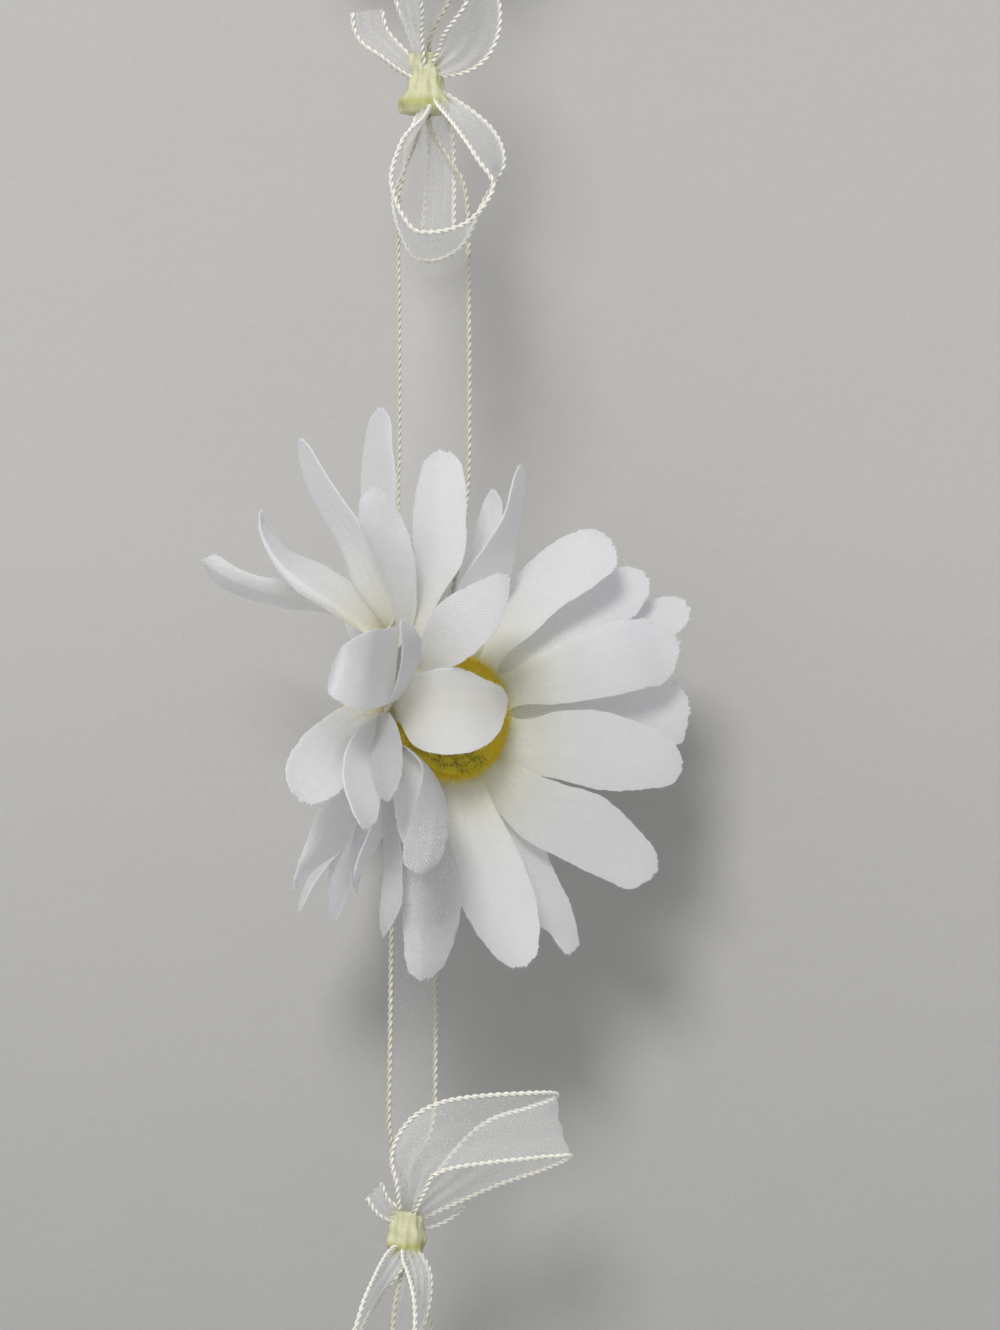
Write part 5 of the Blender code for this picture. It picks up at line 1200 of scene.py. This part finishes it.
def petal_points(corners, sideways, width, roll, outline, rows, columns, seed):
    """A petal's grid of points, with their places on the cloth and root tint."""
    corners = [np.array(corner) for corner in corners]
    rng = random.Random(seed)
    s = np.linspace(0.0, 1.0, rows)[:, None]
    u = np.linspace(-1.0, 1.0, columns)[None, :]
    notch = rng.uniform(0.0, 0.02)
    t = s * (1 - TIP_ROUND * s**4 * np.abs(u) ** 2.4) - notch * s**10 * np.cos(u * math.pi / 2) ** 8
    t = t + 0.006 * s**6 * np.sin(u * 7 + seed)
    shape = spline(outline, 12)
    half = np.interp(t, shape[:, 0], shape[:, 1]) * width / 2
    half = half * (1 + 0.02 * np.sin(t * 19 + seed) * s)
    middle, heading = petal_spine(corners, t)
    sideways = np.array(sideways)
    flat = unit(sideways - heading * (heading @ sideways)[..., None])
    turn = (math.radians(roll) * roll_share(roll, t))[..., None]
    across = flat * np.cos(turn) + np.cross(heading, flat) * np.sin(turn)
    face = np.cross(heading, across)
    lift = pressed_lift(rng, half, s, t, u, seed)
    points = middle + across * (u * half)[..., None] + face * lift[..., None]
    length = run_lengths(np.array(corners))[-1]
    return points, pairs_of(u * half, t * length), root_tint(t, u, 0.75, 0.24)


def add_petal(shell, order, points, places, tint):
    """Adds the petal, with its own piece of the weave."""
    shell.cloth(points, PETAL_THICKNESS, places + (order * 17.0, order * 5.0), tint)


def build_petals(head, material):
    shell = Shell()
    if head.pair == SHOWN_PAIR:
        add_drawn_petals(shell, head)
    else:
        for n, petal in enumerate(sown_petals(head)):
            add_petal(shell, n, *petal_points(*petal, *PLAIN_GRID, 3 + n * 7 + head.pair * 31))
    profile = ((1.5, -1.3), (4.4, -1.3), (4.7, -0.6), (4.6, 0.8), (4.0, 1.1), (1.5, 1.1))
    collar = head.lathe(profile, 32)
    shell.grid(collar, tints=np.full(collar.shape[:2], 0.6), round_columns=True)
    place(shell.object(head.name("cloth_petals"), material), "petal_cloth", head.name("petals"))


def add_drawn_petals(shell, head):
    """Petals of the photographed pair: those that show, and those at the left head's back."""
    right = head.side == "right"
    rows, columns = SHOWN_GRID
    listed = [(petal, LYING_RIM) for petal in LYING_RIGHT] if right else []
    listed += [(petal, STANDING_RIM) for petal in (STANDING_RIGHT if right else STANDING_LEFT)]
    for n, (petal, rim) in enumerate(listed):
        points, places, tint = seen_points(head, petal, rim, rows, columns, 11 + n * 3)
        shell.satin = petal[6]
        add_petal(shell, n, points, places, tint)
        add_frayed_threads(shell, points, 400 + n)
    shell.satin = 0.0
    for n, (layer, tip, width, roll) in enumerate(() if right else BACK_LEFT):
        corners, sideways = open_petal(head, layer, head.hub + Vector(tip), -8)
        petal = (corners, sideways, width, roll, OPEN_OUTLINE)
        add_petal(shell, n, *petal_points(*petal, rows // 2, PLAIN_GRID[1], 5 + n * 7))


def build_disc(head, material):
    """The domed disc under its flock of short fibres, dark-tipped here and there low down."""
    smooth = spline(DISC_PROFILE, 5)
    rings = head.lathe(smooth, 60)
    radius = np.broadcast_to(smooth[:, :1], rings.shape[:2])
    shell = Shell()
    shell.tube(rings, tints=0.3 * np.clip((4.2 - radius) / 4.0, 0, 1) * (smooth[:, 1:] > 4.0))
    rng = random.Random(5 + head.pair * 2 + (head.side == "left"))
    add_flock(shell, head, rng, *(SHOWN_FLOCK if head.pair == SHOWN_PAIR else PLAIN_FLOCK))
    place(shell.object(head.name("flocked_disc"), material), "disc_flock", head.name("disc"))


def add_flock(shell, head, rng, number, thick):
    """Short fibres all over the dome. Those at its rim lean out over the petals."""
    level, up, axis = np.array(head.level), np.array(UP), np.array(head.axis)
    middle = np.array(head.middle)
    feet, tips, tints = [], [], []
    for n in range(number):
        radius = FLOCK_REACH * math.sqrt((n + 0.5) / number)
        angle = n * GOLDEN_ANGLE + rng.uniform(-0.05, 0.05)
        edge = (radius / FLOCK_REACH) ** 3
        height = 5.6 - 0.02 * radius * radius - 1.9 * edge * edge
        outward = level * math.cos(angle) + up * math.sin(angle)
        around = np.cross(axis, outward)
        foot = middle + outward * radius + axis * (height - 0.25)
        lean = outward * (0.15 + 1.3 * edge) + axis * (1 - 0.5 * edge) + around * rng.uniform(-0.6, 0.6)
        lean = lean + outward * rng.uniform(-0.5, 0.5)
        lean = lean / np.linalg.norm(lean)
        long = rng.uniform(0.45, 0.8) * (1 + 1.6 * edge)
        side = np.cross(lean, outward + axis * 0.3)
        side = side / np.linalg.norm(side)
        other = np.cross(lean, side)
        turns = [k * math.tau / 3 for k in range(3)]
        feet.append([foot + (side * math.cos(turn) + other * math.sin(turn)) * thick for turn in turns])
        tips.append(foot + lean * long)
        tints.append(fibre_tone(rng, radius, angle, outward))
    add_spikes(shell, feet, tips, tints)


def fibre_tone(rng, radius, angle, outward):
    """How dark a fibre is. The dark ones stand in small tufts, low on the disc."""
    patch = 0.5 + 0.5 * math.sin(angle * 9 + radius * 2.1) * math.cos(radius * 4.5 - angle * 4)
    low = -0.8 * math.sin(angle) - 0.5 * outward[0]
    dark = patch > 0.45 and radius < 7.0 and rng.random() < 3.0 * (low - 0.3)
    return rng.uniform(0.5, 1.0) if dark else rng.uniform(0.0, 0.05)


def build_backing(head, material):
    """The cup that holds the head to the ribbon."""
    sides = 40
    foot_depth = (head.rise - FOOT_CLEARANCE) / head.axis.dot(head.off)
    foot_middle = np.array(head.middle - head.axis * foot_depth)
    top = head.lathe(((1.6, -1.8), (3.6, -1.8), (3.8, -2.0), (3.7, -2.5)), sides)
    off = np.array(head.off)
    spokes = (head.lathe(((1.0, 0.0),), sides) - np.array(head.middle))[0]
    spokes = spokes - (spokes @ off)[:, None] * off
    foot = foot_middle + spokes * BACKING_FOOT_RADIUS
    rings = np.concatenate([top, foot[None] * 0.5 + top[-1:] * 0.5, foot[None]])
    shell = Shell()
    shell.tube(rings)
    place(shell.object(head.name("cup"), material), "backing_plastic", head.name("backing"))


def build():
    build_camera()
    build_light()
    build_stage()
    bpy.context.scene.view_settings.view_transform = "Standard"
    # The ribbon's cords are a darker, more olive copy of the cream cord: painted shade for cords seen in
    # shadow.
    cord = cord_material("ribbon_cord", colour(0.52, 0.51, 0.39), colour(0.78, 0.77, 0.68))
    cream = cord_material("cream_cord", colour(0.78, 0.77, 0.68), colour(0.93, 0.93, 0.88))
    build_ribbon(organza_material("ribbon_organza", colour(0.88, 0.88, 0.88), 0.1), cord)
    bow_organza = organza_material("bow_organza", colour(0.93, 0.93, 0.94), 0.24)
    gathered = knot_material()
    for index in range(len(BOWS)):
        build_bow(index, bow_organza, gathered, cream)
    build_hanging_loop(cream)
    petals = petal_material()
    flock = disc_material()
    plastic = backing_material()
    for pair in range(len(DAISY_HEIGHTS)):
        for side in ("left", "right"):
            head = Head(pair, side)
            build_petals(head, petals)
            build_disc(head, flock)
            build_backing(head, plastic)


build()
